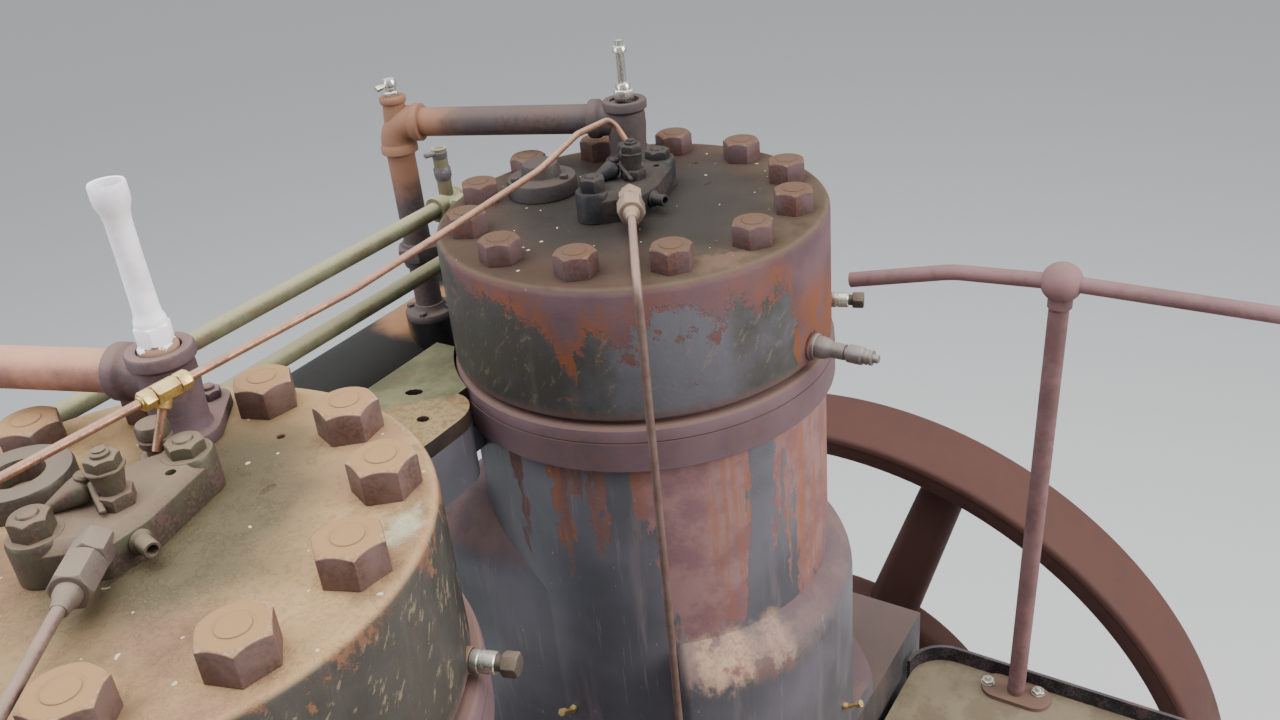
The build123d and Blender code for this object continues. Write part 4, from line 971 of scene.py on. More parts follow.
def nozzle_holder(number):
    body = clamp_body(number)
    carve(body, turned("dimple", ((0, -7), (5, -7), (5.5, 2), (0, 2)), on_head(number, 57, -14, 45)))
    parts = [body]
    for (x, y), top, turn in (((-66, 21), 69, 12), ((90, 3), 62, 40)):
        seat = on_head(number, x, y, 43)
        parts.append(turned("column", ((0, -41), (27, -41), (27.4, -2), (25.4, 2.5), (0, 2.5)), seat))
        parts.append(hexagon("hold_down_nut", 35, top - 48, on_head(number, x, y, 45), turn=turn, crown=0.1))
        parts.append(turned("domed_stud", ((0, -4), (11, -4), (11, 0), (9, 3.2), (5, 5), (0, 5.6)),
                            on_head(number, x, y, top - 4)))
    spindle = on_head(number, 0, -9, 45)
    parts.append(hexagon("spindle_base", 34, 15, spindle, turn=20, crown=0.08))
    parts.append(turned("spindle_neck", ((0, 0), (12.5, 0), (12.5, 17), (16, 34), (16.5, 40), (0, 40)),
                        spindle))
    parts.append(turned("spindle_washer", ((0, 0), (18.5, 0), (19, 1), (18.5, 2.2), (0, 2.2)),
                        spindle + lift(0.039)))
    parts.append(hexagon("spindle_nut", 29, 12, spindle + lift(0.041), turn=5, crown=0.08))
    parts.append(turned("spindle_tip", ((0, 0), (9, 0), (9, 3.5), (7.5, 5), (6.2, 5.2), (6.2, 7), (0, 7.4)),
                        spindle + lift(0.0526)))
    cone_foot = on_head(number, -42, 38, 49)
    cone_way = on_head(number, -6, 15, 63) - cone_foot
    cone = ((0, 0), (4.5, 0), (5.5, 2), (9, 14), (13.2, 30), (14, 36), (12.8, 41), (9, 44.5), (0, 46))
    parts.append(turned("priming_cone", cone, cone_foot, cone_way))
    parts.append(turned("cone_cap", ((0, 0), (8, 0), (8.2, 3), (6.5, 5.5), (0, 6.2)),
                        on_head(number, -10, 17, 71), (0.2, -0.2, 1.0)))
    parts.append(bar("cone_pin", 3.6, on_head(number, -9, 8, 68), on_head(number, -21, -19, 49), 1.2, 16))
    stub_foot = on_head(number, -11, -46, 20)
    stub_way = Vector((-0.22, -0.97, 0.08))
    stub = (
        (0, 0), (12, 0), (12, 5), (9, 7), (8.6, 26), (7.8, 27.5), (5.6, 27.5), (5.2, 26), (5.2, 12),
        (0, 11),
    )
    parts.append(turned("open_stub", stub, stub_foot, stub_way, 32))
    cock_foot = on_head(number, 97, 62, 0)
    inlet_cock = (
        (0, 0), (21, 0), (21.5, 2), (21.5, 20), (20, 23), (13, 25), (12.5, 33), (16.5, 35), (17.5, 37),
        (17.5, 43), (16, 45), (17.5, 47), (17.5, 56), (15.5, 60), (9, 62), (0, 62.5),
    )
    parts.append(turned("inlet_cock", inlet_cock, cock_foot, steps=32))
    return joined(f"nozzle_holder_{number}", parts)


def fuel_fitting(number):
    way = outward(fuel_angles[number - 1])
    seat = on_head(number, 0, 0, 33)
    parts = [hexagon("fitting_shoulder", 33, 30, seat + way * 0.046, way, 0, 0.08, True)]
    parts.append(turned("fitting_groove", ((0, 0), (15, 0), (15, 4), (0, 4)), seat + way * 0.0755, way))
    parts.append(hexagon("union_nut", 36, 42, seat + way * 0.079, way, 22, 0.1, True))
    nipple = ((0, 0), (12.5, 0), (12, 9), (9.5, 15), (8.2, 24), (7.5, 25.5), (0, 25.5))
    parts.append(turned("union_nipple", nipple, seat + way * 0.1195, way, 28))
    return joined(f"fuel_fitting_{number}", parts)


holder_tones = (
    ((84, 80, 66), (76, 64, 60), (138, 118, 98), (108, 80, 70)),
    ((46, 47, 50), (62, 56, 54), (66, 58, 50), (72, 60, 54)),
)
for number in (1, 2):
    holder_finish = weathered(f"holder_iron_{number}", *holder_tones[number - 1], 0.42, 0.35, 30.0, 0.6, 0.35)
    hand_over(nozzle_holder(number), holder_finish, [f"injector_{number}"], smooth=32)
fitting_tones = (
    ((104, 92, 84), (88, 78, 78), (140, 126, 108), (120, 94, 78)),
    ((128, 110, 96), (104, 90, 82), (156, 134, 112), (122, 96, 80)),
)
for number in (1, 2):
    fitting_finish = weathered(f"fitting_iron_{number}", *fitting_tones[number - 1], 0.45, 0.3, 30.0, 0.6,
                               0.4)
    hand_over(fuel_fitting(number), fitting_finish, smooth=30)
print("nozzle holders done")

# %% [markdown]
# Cooling water leaves each head through a cast tee with rolled bands at its mouths. From there a
# pipe runs back over the header pipes to an elbow and drops to the manifold. The bands and the
# soft shoulders of the castings are what make them read as pipe fittings, so each mouth gets its
# own profile. The elbow is a circle spun through a quarter turn, as the pattern-maker drew it.

# %% Water tees and outlet pipes
tee_spot, tee_height = (153.0, 98.0), 113.0
elbow_spot = (20.0, 484.0)
outlet_run = Vector((elbow_spot[0] - tee_spot[0], elbow_spot[1] - tee_spot[1], 0.0)).normalized()
outlet_rise = 81.0
manifold_flange_top, union_height = 2.515, 2.630
ear_way = outward(24.0)


def foot_ear(foot):
    """The tee's foot reaches out to one bolt: a band round two discs, bevelled along its top."""
    middle = foot + lift(0.007)
    ear = wrapped("foot_ear", [(middle, 40.0), (middle + ear_way * 0.062, 23.0)], 0.014, 40)
    return soften(ear, 1.5, 2, 40.0)


def water_tee(number):
    foot = on_head(number, *tee_spot)
    body = (
        (0, 0), (39, 0), (40, 2), (40, 11), (39, 14), (33, 14.5), (30.5, 18), (29.8, 30), (30.5, 48),
        (32.5, 70), (32, 88), (31, 94), (33.5, 97), (36, 99), (36.3, 110), (34.5, 112.6), (28, 113),
        (24, 112), (22, 104), (0, 104),
    )
    parts = [turned("tee_body", body, foot, steps=56)]
    branch = (
        (0, 0), (28, 0), (28.5, 20), (27.5, 32), (28.5, 40), (31, 43), (32, 46), (32, 57), (30.5, 60),
        (25.5, 60.5), (25.2, 62), (0, 62),
    )
    parts.append(turned("tee_branch", branch, foot + lift(0.081), outlet_run, 56))
    parts.append(foot_ear(foot))
    ear_bolt = foot + ear_way * 0.064 + lift(0.0135)
    parts.append(hexagon("ear_nut", 24, 11, ear_bolt, turn=20, crown=0.1))
    parts.append(turned("ear_stud", ((0, 0), (7, 0), (7, 4), (5.5, 5.5), (0, 5.8)), ear_bolt + lift(0.0105),
                        steps=20))
    return joined(f"cast_tee_{number}", parts)


def quarter_bend(name, radius, bend, level):
    """A bend that comes in along the run and leaves straight down."""
    bpy.ops.object.select_all(action="DESELECT")
    bpy.ops.mesh.primitive_circle_add(vertices=40, radius=radius / 1000, fill_type="NOTHING")
    piece = bpy.context.object
    piece.name = name
    piece.location = (bend / 1000, 0, 0)
    settle(piece)
    bpy.ops.object.mode_set(mode="EDIT")
    bpy.ops.mesh.select_mode(type="VERT")
    spun(14, math.pi / 2, (0, 1, 0))
    piece.rotation_euler = (0, 0, math.atan2(outlet_run.y, outlet_run.x))
    piece.location = level
    return settle(piece)


def outlet_pipe(number):
    start = on_head(number, *tee_spot, outlet_rise) + outlet_run * 0.062
    corner = on_head(number, *elbow_spot, outlet_rise)
    bend = 34.0
    bend_start = corner - outlet_run * (bend / 1000)
    drop_top = corner - lift(bend / 1000)
    parts = [bar("run", 24.15, start, bend_start + outlet_run * 0.001, 0.4, 40)]
    parts.append(quarter_bend("bend", 29.0, bend, bend_start - lift(bend / 1000)))
    mouth = ((0, 0), (30, 0), (31.8, 1.5), (31.8, 12), (30, 14.5), (28.8, 18), (0, 18))
    parts.append(turned("run_band", mouth, bend_start - outlet_run * 0.017, outlet_run, 48))
    parts.append(turned("drop_band", mouth, drop_top - lift(0.018), (0, 0, 1), 48))
    neck = (
        (0, -30), (22, -30), (21, 8), (19.5, 24), (19, 33), (21.5, 35), (22.6, 37), (22.6, 44), (21, 46),
        (13, 46.5), (0, 46.5),
    )
    parts.append(turned("neck", neck, corner - outlet_run * 0.004, steps=44))
    foot = Vector((corner.x, corner.y, manifold_flange_top))
    parts.append(turned("drop_pipe", ((0, 0), (24.15, 0), (24.15, 315), (0, 315)), foot, steps=40))
    foot_flange = (
        (0, 0), (45, 0), (46, 1.5), (46, 11), (44, 14), (32, 15), (29, 18), (27, 26), (24.2, 27), (0, 27),
    )
    parts.append(turned("foot_flange", foot_flange, foot, steps=48))
    union_foot = Vector((corner.x, corner.y, union_height))
    parts.append(hexagon("union", 70, 27, union_foot, turn=10, crown=0.06, both_ends=True))
    parts.append(turned("union_end", ((0, 0), (29, 0), (30, 2), (30, 42), (28, 45), (0, 45)),
                        union_foot - lift(0.012)))
    for turn in (20, 110, 200, 290):
        parts.append(hexagon("foot_bolt", 13, 8, foot + outward(turn) * 0.0375 + lift(0.0125), turn=turn))
    return joined(f"outlet_run_{number}", parts)


def outlet_cock(number):
    """Small vent cock that closes the elbow's neck."""
    foot = on_head(number, *elbow_spot, outlet_rise + 46) - outlet_run * 0.004
    parts = [hexagon("vent_hex", 22, 9, foot, turn=8, crown=0.1)]
    parts.append(turned("vent_body", ((0, 0), (9, 0), (9, 5), (11.5, 8), (12, 17), (10, 21), (0, 22)),
                        foot + lift(0.008)))
    side = foot + lift(0.02)
    parts.append(turned("vent_lever", ((0, 0), (5, 0), (4, 12), (5.5, 22), (5, 27), (0, 28)), side,
                        (-1.0, 0.35, -0.12), 20))
    return joined(f"outlet_cock_{number}", parts)


tee_tones = (
    ((92, 76, 80), (78, 64, 68), (140, 114, 104), (116, 86, 72)),
    ((76, 66, 66), (64, 57, 58), (98, 82, 78), (92, 72, 64)),
)
run_tones = (
    ((166, 118, 98), (124, 92, 86), (196, 150, 122), (148, 98, 74)),
    ((76, 67, 67), (66, 58, 58), (96, 82, 76), (100, 76, 64)),
)
for number in (1, 2):
    tee_finish = weathered(f"tee_iron_{number}", *tee_tones[number - 1], 0.6, 0.0, 22.0, 0.55, 0.35)
    hand_over(water_tee(number), tee_finish, [f"water_tee_{number}"], smooth=40)
    bend_dust = (on_head(number, *elbow_spot, 75), (0.12, 0.12, 0.13), (140, 100, 78), 0.85)
    run_finish = weathered(f"run_iron_{number}", *run_tones[number - 1], 0.62, 0.0, 16.0, 0.75, 0.4,
                           stains=(bend_dust,))
    hand_over(outlet_pipe(number), run_finish, [f"outlet_pipe_{number}"], smooth=40)
    hand_over(outlet_cock(number), nickel, smooth=35)
print("water tees and outlet pipes done")

# %% [markdown]
# On the near tee stands an open white tube, flared at its mouth, where the operator sees the water
# run. On the far tee it is a small glass gauge in a steel cage. Both are hollow turned parts.

# %% Sight tube and glass gauge
tube_foot = on_head(1, *tee_spot, tee_height)
tube_profile = (
    (0, -6), (21, -6), (21.5, 1), (19.5, 4), (17, 6), (17, 30), (16.4, 34), (14.4, 38), (13.8, 46),
    (13.2, 100), (13.4, 142), (15, 152), (18.2, 160), (18.8, 168), (18.6, 180), (17.6, 182), (16.2, 181),
    (15.6, 166), (11, 150), (10.4, 60), (0, 58),
)
sight_tube = turned("flared_tube", tube_profile, tube_foot, steps=44)
ferrule = hexagon("tube_ferrule", 34.4, 23, tube_foot + lift(0.005), turn=14, crown=0.1, both_ends=True)
sight_tube = joined("flared_tube", [sight_tube, ferrule])
hand_over(sight_tube, white_paint, ["sight_tube"], smooth=40)
gauge_foot = on_head(2, *tee_spot, tee_height)
gauge_parts = [hexagon("gauge_nut", 30, 17, gauge_foot, turn=12, crown=0.09)]
gauge_parts.append(turned("gauge_gland", ((0, 0), (12.5, 0), (12.5, 8), (10.5, 11), (0, 11)),
                          gauge_foot + lift(0.016)))
for side in (-1, 1):
    post_foot = gauge_foot + Vector((side * 0.0085, 0, 0.024))
    gauge_parts.append(bar("cage_post", 2.2, post_foot, post_foot + lift(0.052), 0.5, 12))
gauge_parts.append(turned("gauge_glass", ((0, 0), (6.2, 0), (6.2, 50), (0, 50)), gauge_foot + lift(0.026),
                          steps=28))
gauge_cap = ((0, 0), (11, 0), (11.8, 1), (11.8, 8), (10.6, 10), (7, 11), (6.5, 19), (0, 19.5))
gauge_parts.append(turned("gauge_cap", gauge_cap, gauge_foot + lift(0.0755), steps=28))
hand_over(joined("caged_gauge", gauge_parts), nickel, ["glass_gauge"], smooth=35)
print("sight tube and gauge done")

# %% [markdown]
# The starting valve's seat is an open collar on the near head. On the far head its cap is in place:
# a low drum with a domed middle. The leak-off tube joins over the near head in a brass
# tee, three hexagons in a row with the compression nuts at both ends.

# %% Starting valve and brass tee
start_valve_spot = (2.0, 168.0)
collar = (
    (27.2, 0), (54, 0), (56, 1.5), (56, 23), (54, 27), (50, 28), (31, 28), (28.5, 26.5), (27.2, 23),
    (27.2, 0),
)
hand_over(turned("valve_collar", collar, on_head(1, *start_valve_spot), steps=64), injector_iron,
          ["start_valve_collar"], smooth=35)
cap = (
    (0, 0), (54, 0), (56, 1.5), (56, 22), (54.5, 26), (50, 28), (35, 28.5), (32.5, 30), (31, 34),
    (30.5, 44), (28, 49), (21, 52.4), (10, 53.8), (0, 54),
)
cap_parts = [turned("valve_cap", cap, on_head(2, *start_valve_spot), steps=64)]
for turn in (30, 150, 270):
    cap_parts.append(hexagon("cap_screw", 12, 7,
                             on_head(2, *start_valve_spot, 27.4) + outward(turn) * 0.0445, turn=turn))
cap_iron = weathered("cap_iron", (66, 61, 60), (56, 51, 50), (76, 66, 60), (84, 68, 60), 0.55, 0.1, 20.0,
                     0.7, 0.35)
hand_over(joined("capped_valve", cap_parts), cap_iron, ["start_valve_cap"], smooth=35)

tee_centre = on_head(1, 106, 33, 100)
tee_way = outward(-3.0)
brass_parts = [hexagon("tee_middle", 20, 27, tee_centre - tee_way * 0.0135, tee_way, 10, 0.06, True)]
for side in (-1, 1):
    foot = tee_centre + tee_way * (0.0145 * side)
    brass_parts.append(hexagon("tee_nut", 18.5, 13.5, foot, tee_way * side, 30, 0.16))
    brass_parts.append(turned("tee_neck", ((0, 0), (7.4, 0), (7.4, 16.5), (6, 17.5), (0, 17.5)),
                              tee_centre + tee_way * (0.0125 * side), tee_way * side, 24))
drop_way = Vector((76 - 106, 31 - 33, 46 - 100)).normalized()
brass_parts.append(turned("tee_socket", ((0, 0), (8.4, 0), (8.4, 17), (7, 18.5), (0, 18.5)), tee_centre,
                          drop_way, 24))
hand_over(joined("brass_tee", brass_parts), brass, ["leak_off_tee"], smooth=30)
print("valve and tee done")

# %% [markdown]
# Low on each head's operator side is a bright relief cock, with a dark groove before its dull
# hexagon, and a long nipple, grooved and ribbed. They catch the light in front of dark paint.

# %% Relief cocks and side nipples
cock_way = outward(cock_direction)
nipple_way = outward(nipple_angle)
cocks = []
for number in (1, 2):
    seat = cock_place(number) + cock_way * 0.0045
    barrel = (
        (0, 0), (12, 0), (12.4, 1), (12.4, 8), (11.2, 9), (11.2, 10), (12.2, 11), (12.2, 26), (11, 27.2),
        (0, 27.2),
    )
    cocks.append(turned("cock_barrel", barrel, seat, cock_way))
cock_barrels = joined("cock_barrels", cocks)
hand_over(cock_barrels, nickel, ["relief_cocks"], smooth=35)
cock_ends = []
for number in (1, 2):
    seat = cock_place(number) + cock_way * 0.031
    cock_ends.append(turned("cock_groove", ((0, 0), (8.6, 0), (8.6, 8), (0, 8)), seat, cock_way))
    cock_ends.append(hexagon("cock_hex", 24, 18, seat + cock_way * 0.007, cock_way, 12, 0.12, True))
hand_over(joined("cock_ends", cock_ends), injector_iron, smooth=30)
nipples = []
for number in (1, 2):
    seat = on_head(number, 0, 0, -nipple_depth) + outward(nipple_angle) * 0.3045
    nipples.append(turned("nipple_seat", ((0, 0), (19.5, 0), (19.5, 4), (18, 5.5), (0, 5.5)), seat,
                          nipple_way))
    barrel = (
        (0, 5), (16.5, 5), (17, 12), (15.4, 20), (12.4, 26), (11.8, 30), (11.8, 49), (9.4, 50), (9.4, 53),
        (13.2, 54), (13.5, 55.5), (13.5, 75), (12.2, 77), (10.2, 78), (10.2, 80), (11.4, 81), (11.4, 84),
        (10.2, 85), (10.2, 87), (11.2, 88), (11.2, 91), (8.6, 92), (6.4, 93), (6.4, 99), (5.4, 100),
        (0, 100),
    )
    nipples.append(turned("nipple_barrel", barrel, seat, nipple_way))
nipple_steel = weathered("nipple_steel", (128, 120, 116), (106, 98, 98), (160, 150, 142), (130, 104, 92),
                         0.4, 0.5, 40.0, 0.5, 0.35)
hand_over(joined("side_nipple_pair", nipples), nipple_steel, ["side_nipples"], smooth=32)
print("cocks and nipples done")

# %% [markdown]
# The header pipes keep their CAD shape, which is right, and gain what a fitter added: hexagon
# unions where each branch meets the drum, and the air cock on the upper pipe with its cross pin.

# %% Header unions and air cock
unions = []
header_line = 345.0
for number in (1, 2):
    for offset, drop in branches:
        seat = on_head(number, offset, 306, -drop)
        unions.append(hexagon("branch_union", 38, 15, seat, (0, 1, 0), 15, 0.07, True))
        for side in (-1, 1):
            end = on_head(number, offset + side * 27, header_line, -drop)
            rolled = ((0, 0), (20.2, 0), (21.6, 1.5), (21.6, 6), (20, 8), (0, 8))
            unions.append(turned("rolled_edge", rolled, end - Vector((0.004, 0, 0)), (1, 0, 0), 36))
hand_over(joined("header_unions", unions), pipe_green, smooth=35)
air_foot = on_head(2, -32, header_line, -12)
air_profile = (
    (0, 0), (10.5, 0), (10.5, 22), (13, 26), (14.2, 34), (14.2, 44), (11.5, 48), (10, 58), (12.4, 62),
    (12.8, 72), (10, 76), (7.5, 79), (0, 80),
)
air_parts = [turned("air_body", air_profile, air_foot, steps=32)]
air_parts.append(hexagon("air_hex", 27, 12, air_foot + lift(0.03), turn=20, crown=0.08, both_ends=True))
air_parts.append(bar("air_pin", 4.6, air_foot + Vector((-0.03, 0.004, 0.074)),
                     air_foot + Vector((0.006, 0, 0.07)), 1.5, 18))
air_iron = weathered("air_iron", (98, 92, 94), (78, 74, 78), (128, 118, 114), (110, 90, 84), 0.45, 0.2,
                     30.0, 0.5, 0.3)
hand_over(joined("air_cock", air_parts), air_iron, smooth=35)
print("header fittings done")

# %% [markdown]
# On the lug beside each barrel lies a flat plate with torch-cut corners. Two ragged holes go
# through it. The plate starts as a cube, a second cube takes away its corner beside the ring, and
# the free corners are bevelled to their large radius. The holes are cut with turned tools of few
# sides, squeezed so that no hole is round.

# %% Lug plates
plate_low, plate_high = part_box("side_plate_1")
plate_root_y = 0.150
plate_holes = (((-312, 216), (9, 14), 28), ((-367, 150), (8, 10), 10))


def lug_finish(number):
    """Olive grey film at the back of the plate, tan grit on its worn front corner, painted shade on its
    walls.
    """
    finish = Finish(f"lug_finish_{number}")
    place = finish.split(finish.about((cylinder_x[number - 1], 0, 0), 50.0))
    cloudy = finish.noise(12.0, 6.0, roughness=0.65)
    fine = finish.noise(120.0, 4.0, roughness=0.7)
    front = (cloudy - 0.5) * 0.1 + place[0]
    worn = front.steps(-0.055, -0.085)
    back_tone = finish.mix(cloudy.steps(0.35, 0.6), (112, 110, 82), (90, 88, 66))
    front_tone = finish.mix(fine.steps(0.42, 0.64), (140, 122, 88), (122, 98, 70))
    colour = finish.mix(worn, back_tone, front_tone)
    rust = finish.noise(30.0, 5.0, roughness=0.7).steps(0.6, 0.66)
    colour = finish.mix(rust * 0.6, colour, (128, 88, 62))
    # Painted shade: the plate's side walls are darkened, for the shade below and beside the plate.
    wall = finish.up().steps(0.75, 0.35)
    colour = finish.mix(wall, colour, finish.mix(cloudy.steps(0.4, 0.6), (46, 40, 36), (66, 54, 46)))
    finish.paint(colour, fine * 0.2 + 0.66)
    return finish.relief(cloudy * 0.6 + fine, 0.001, 0.6)


def lug_plate(number, ring_radius):
    reach, inner = 0.470, 0.170
    axis_x = cylinder_x[number - 1]
    size = (reach - inner, plate_high.y - plate_low.y, plate_high.z - plate_low.z)
    middle = (
        axis_x - (reach + inner) / 2, (plate_low.y + plate_high.y) / 2, (plate_low.z + plate_high.z) / 2,
    )
    plate = block(f"lug_plate_{number}", size, middle)
    tab_end = axis_x - 0.288
    carve(plate, block("corner", (0.2, 0.2, 0.2), (tab_end + 0.1, plate_root_y - 0.1, plate_high.z)))

    def free_corner(first, second):
        upright = abs(first.z - second.z) > 0.01
        at_root = abs((first.y + second.y) / 2 - plate_root_y) < 0.01
        return upright and max(first.x, second.x) < tab_end + 0.001 and not at_root

    pick_edges(plate, free_corner)
    bpy.ops.mesh.bevel(offset=0.058, segments=8)
    bpy.ops.object.mode_set(mode="OBJECT")
    bore = ((0, -80), (ring_radius + 1, -80), (ring_radius + 1, 80), (0, 80))
    carve(plate, turned("opening", bore, (axis_x, 0, plate_high.z), steps=96))
    for (x, y), (wide, long), turn in plate_holes:
        tool = turned("ragged_hole", ((0, -40), (1000, -40), (1060, -6), (1000, 5), (0, 5)), steps=9)
        tool.scale = (wide / 1000, long / 1000, 1.0)
        tool.rotation_euler = (0, 0, math.radians(turn))
        settle(tool)
        carve(plate, stand(tool, (axis_x + x / 1000, y / 1000, plate_high.z), (0, 0, 1)))
    return soften(plate, 2.0, 2, 40.0)


for number, radius in ring_radii:
    hand_over(lug_plate(number, radius), lug_finish(number), [f"side_plate_{number}"],
              smooth=30)
print("lug plates done")

# %% [markdown]
# The flywheel is one casting. A lathe gives the rim, with its edges well rounded, and also the
# disc and the hub. One arm is a tapered, rounded block, and six copies are turned round the shaft.
# All of it turns with the shaft, so it rides the rotor.

# %% Flywheel
shaft_height = 1.019
wheel_centre = Vector((1.286, 0.0, shaft_height))


def wheel_turned(name, profile, steps=160):
    return turned(name, profile, wheel_centre, (1, 0, 0), steps)


rim_profile = (
    (873, -78), (876, -88), (882, -92), (911, -92), (914, -93), (916, -96), (923, -96), (929, -94),
    (933, -88), (935, -78), (935, 78), (933, 88), (929, 94), (923, 96), (916, 96), (914, 93), (911, 92),
    (882, 92), (876, 88), (873, 78), (873, -78),
)
disc_profile = (
    (120, -40), (404, -40), (424, -37), (436, -28), (440, -16), (440, 16), (436, 28), (424, 37), (404, 40),
    (120, 40), (120, -40),
)
hub_profile = (
    (82.9, -173), (166, -173), (172, -170), (175, -164), (175, -70), (180, -54), (196, -40), (196, 40),
    (180, 54), (175, 70), (175, 134), (172, 141), (166, 144), (82.9, 144), (82.9, -173),
)
wheel_parts = [wheel_turned("rim", rim_profile, 200), wheel_turned("disc", disc_profile, 120)]
wheel_parts.append(wheel_turned("hub", hub_profile, 80))
arm_root_width, arm_tip_width, arm_middle = 0.130, 0.100, 0.625
arm = block("arm", (0.070, arm_root_width, 0.53), (0, 0, arm_middle))
for corner in arm.data.vertices:
    if corner.co.z > arm_middle:
        corner.co.y *= arm_tip_width / arm_root_width
soften(arm, 30.0, 6, 40.0)
for index in range(6):
    spoke = copy_of(arm)
    spoke.rotation_euler = (math.radians(17.0 + index * 60.0), 0, 0)
    spoke.location = wheel_centre
    wheel_parts.append(settle(spoke))
discard(arm)
hand_over(joined("cast_flywheel", wheel_parts), wheel_iron, ["flywheel"], "rotor", 40)
print("flywheel done")

# %% [markdown]
# Bolts tell how the big castings are held together, and they are what the eye looks for on the
# plain sides. One bolt head of each size is modelled, then copied along each flange. Positions
# follow the CAD flanges, and each copy is turned a little, as a fitter leaves them.

# %% Bolts on the castings
def bolt_set(name, places, flats, height, way, finish):
    """One bolt head or nut with its washer, copied to each place."""
    washer = ((0, 0), (flats * 0.60, 0), (flats * 0.62, 1), (flats * 0.60, 2.4), (0, 2.4))
    end = (
        (0, 0), (flats * 0.26, 0), (flats * 0.26, height + 2), (flats * 0.2, height + 4),
        (0, height + 4.4),
    )
    parts = [turned("bolt_washer", washer, steps=24),
             hexagon("bolt_hex", flats, height, (0, 0, 0), crown=0.1)]
    pattern = joined("bolt_pattern", [*parts, turned("bolt_end", end, steps=20)])
    copies = [twin(pattern, place, random.uniform(0.0, 60.0), way) for place in places]
    discard(pattern)
    return hand_over(joined(name, copies), finish, smooth=30)


def on_circle(centre, radius, count, first, across, over):
    """Places on a circle whose plane is spanned by two directions."""
    places = []
    for index in range(count):
        angle = math.radians(first + index * 360.0 / count)
        step = Vector(across) * math.cos(angle) + Vector(over) * math.sin(angle)
        places.append(Vector(centre) + step * radius)
    return places


door_low, door_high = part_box("crankcase_door_1")
door_middle = (door_low.z + door_high.z) / 2
door_rows = (-0.255, -0.128, 0.0, 0.128, 0.255)
case_face, cover_face, split_face, split_top = 0.442, 0.954, 0.436, 1.054
foot_line, foot_top, barrel_foot_top = 0.462, 0.495, 1.800
port_face, port_height = 0.372, 2.090
manifold_line, manifold_end, manifold_height, boss_face = 0.560, -0.647, 2.377, 2.207
post_foot_top, leg_foot_top = 1.685, 0.012
to_left, to_right, to_front, to_back = (-1, 0, 0), (1, 0, 0), (0, -1, 0), (0, 1, 0)
to_top, to_floor = (0, 0, 1), (0, 0, -1)
for name, face_y, way in (("door_bolts", -case_face, to_front), ("valve_cover_bolts", case_face, to_back)):
    places = []
    for x in cylinder_x:
        for offset in door_rows:
            places += [Vector((x + offset, face_y, door_middle + rise)) for rise in (-0.112, 0.112)]
        if way == to_front:
            places += [Vector((x + side * 0.255, face_y, door_middle)) for side in (-1, 1)]
    bolt_set(name, places, 20.0, 11.0, way, base_paint)

split_places, foot_places, flange_places, port_places, boss_places, leg_places = [], [], [], [], [], []
for side in (-1, 1):
    split_places += [Vector((-0.85 + index * 0.17, side * split_face, split_top)) for index in range(11)]
    foot_places += [Vector((x, side * foot_line, foot_top)) for x in (-0.80, -0.27, 0.27, 0.80)]
for x in cylinder_x:
    barrel_foot = Vector((x, 0, barrel_foot_top))
    flange_places += [barrel_foot + outward(angle) * 0.348 for angle in (-22, 0, 22, 158, 180, 202)]
    port_places += on_circle((x, port_face, port_height), 0.0925, 6, 30, to_right, to_top)
    boss_places += on_circle((x, manifold_line, boss_face), 0.0875, 6, 0, to_right, to_back)
free_places, drive_places = (
    on_circle((x, 0, shaft_height), 0.2, 10, 18, to_back, to_top) for x in (-cover_face, cover_face)
)
manifold_places = on_circle((manifold_end, manifold_line, manifold_height), 0.143, 8, 22.5, to_back, to_top)
post_places = [Vector((x, y, post_foot_top)) for x, y in ((0.857, -0.484), (0.871, -0.580))]
leg_low, leg_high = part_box("platform_legs")
leg_line = (leg_low.y + leg_high.y) / 2
corners = [(across, over) for across in (-0.058, 0.058) for over in (-0.058, 0.058)]
for x in (leg_low.x + 0.080, (leg_low.x + leg_high.x) / 2, leg_high.x - 0.080):
    leg_places += [Vector((x + across, leg_line + over, leg_foot_top)) for across, over in corners]
for name, places, flats, height, way, finish, slot in (
    ("split_flange_nuts", split_places, 22.0, 14.0, to_top, base_paint, "base_paint"),
    ("foundation_nuts", foot_places, 46.0, 30.0, to_top, far_nut_iron, "nut_iron"),
    ("barrel_flange_nuts", flange_places, 34.0, 24.0, to_top, far_nut_iron, "nut_iron"),
    ("free_cover_bolts", free_places, 24.0, 13.0, to_left, base_paint, "base_paint"),
    ("drive_cover_bolts", drive_places, 24.0, 13.0, to_right, base_paint, "base_paint"),
    ("manifold_end_bolts", manifold_places, 24.0, 13.0, to_left, manifold_black, "manifold_black"),
    ("port_flange_bolts", port_places, 19.0, 11.0, to_back, manifold_black, "manifold_black"),
    ("boss_flange_bolts", boss_places, 19.0, 11.0, to_floor, manifold_black, "manifold_black"),
    ("post_foot_bolts", post_places, 22.0, 9.0, to_top, nickel, "nickel"),
    ("leg_foot_bolts", leg_places, 18.0, 10.0, to_top, rim_paint, "rim_paint"),
):
    bolt_set(name, places, flats, height, way, finish)
print("bolts done")
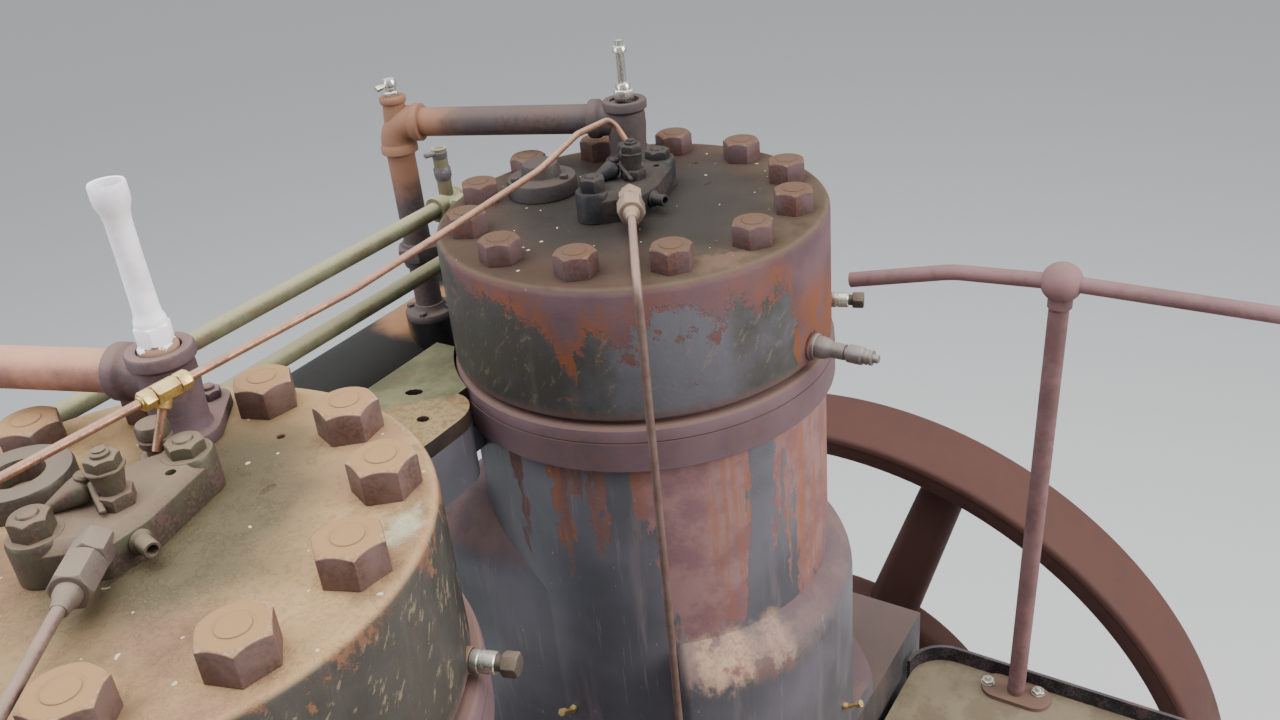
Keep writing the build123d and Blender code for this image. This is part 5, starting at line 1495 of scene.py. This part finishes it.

# %% [markdown]
# The governor housing is a turned casting with a bolted cap, a waist and an oiler on top. The
# pumps are blocks with a turned plunger guide and four nuts on top.

# %% Governor and pumps
governor_foot = Vector((-1.029, 0.0, 1.400))
housing = (
    (0, 0), (94, 0), (95, 2), (95, 16), (90, 22), (78, 34), (74, 60), (76, 120), (84, 142), (92, 152),
    (95, 156), (95, 172), (93, 175), (93, 178), (95, 181), (94, 196), (88, 214), (72, 234), (50, 248),
    (26, 254), (26, 257), (0, 258),
)
governor_parts = [turned("housing", housing, governor_foot, steps=72)]
governor_parts.append(turned("oiler", ((0, 0), (9, 0), (9, 8), (12, 12), (12, 22), (9, 26), (0, 27)),
                             governor_foot + lift(0.23) + outward(200) * 0.045))
spindle_foot = governor_foot + lift(0.095)
governor_parts.append(bar("lever_shaft", 9.0, spindle_foot + Vector((0, -0.112, 0)),
                          spindle_foot + Vector((0, 0.112, 0)), 2.0))
for angle in range(0, 360, 45):
    governor_parts.append(hexagon("cap_bolt", 12, 7,
                                  governor_foot + outward(angle + 10) * 0.0865 + lift(0.205), turn=angle))
shelf = block("shelf", (0.230, 0.190, 0.040), governor_foot - lift(0.020))
pick_edges(shelf, lambda first, second: max(first.x, second.x) < -1.1 and abs(first.z - second.z) > 0.01)
bpy.ops.mesh.bevel(offset=0.084, segments=12)
bpy.ops.object.mode_set(mode="OBJECT")
governor_parts.append(soften(shelf, 3.0, 2, 40.0))
hand_over(joined("governor_housing", governor_parts), base_paint, ["governor"], smooth=35)

pump_parts = []
for x in cylinder_x:
    foot = Vector((x + 0.059, -0.262, 1.760))
    pump_parts.append(soften(block("pump_block", (0.084, 0.084, 0.11), foot + lift(0.055)), 9.0, 4, 60.0))
    guide = ((0, -4), (30, -4), (30, 4), (24, 8), (22, 10), (22, 22), (18, 27), (12, 30), (0, 30))
    pump_parts.append(turned("plunger_guide", guide, foot + lift(0.11)))
    for side_x in (-1, 1):
        for side_y in (-1, 1):
            seat = foot + Vector((side_x * 0.0315, side_y * 0.0315, 0.1095))
            pump_parts.append(hexagon("pump_nut", 12, 7, seat, turn=side_x * 11, crown=0.12))
hand_over(joined("pump_blocks", pump_parts), pump_iron, ["fuel_pumps"], smooth=35)
print("governor and pumps done")
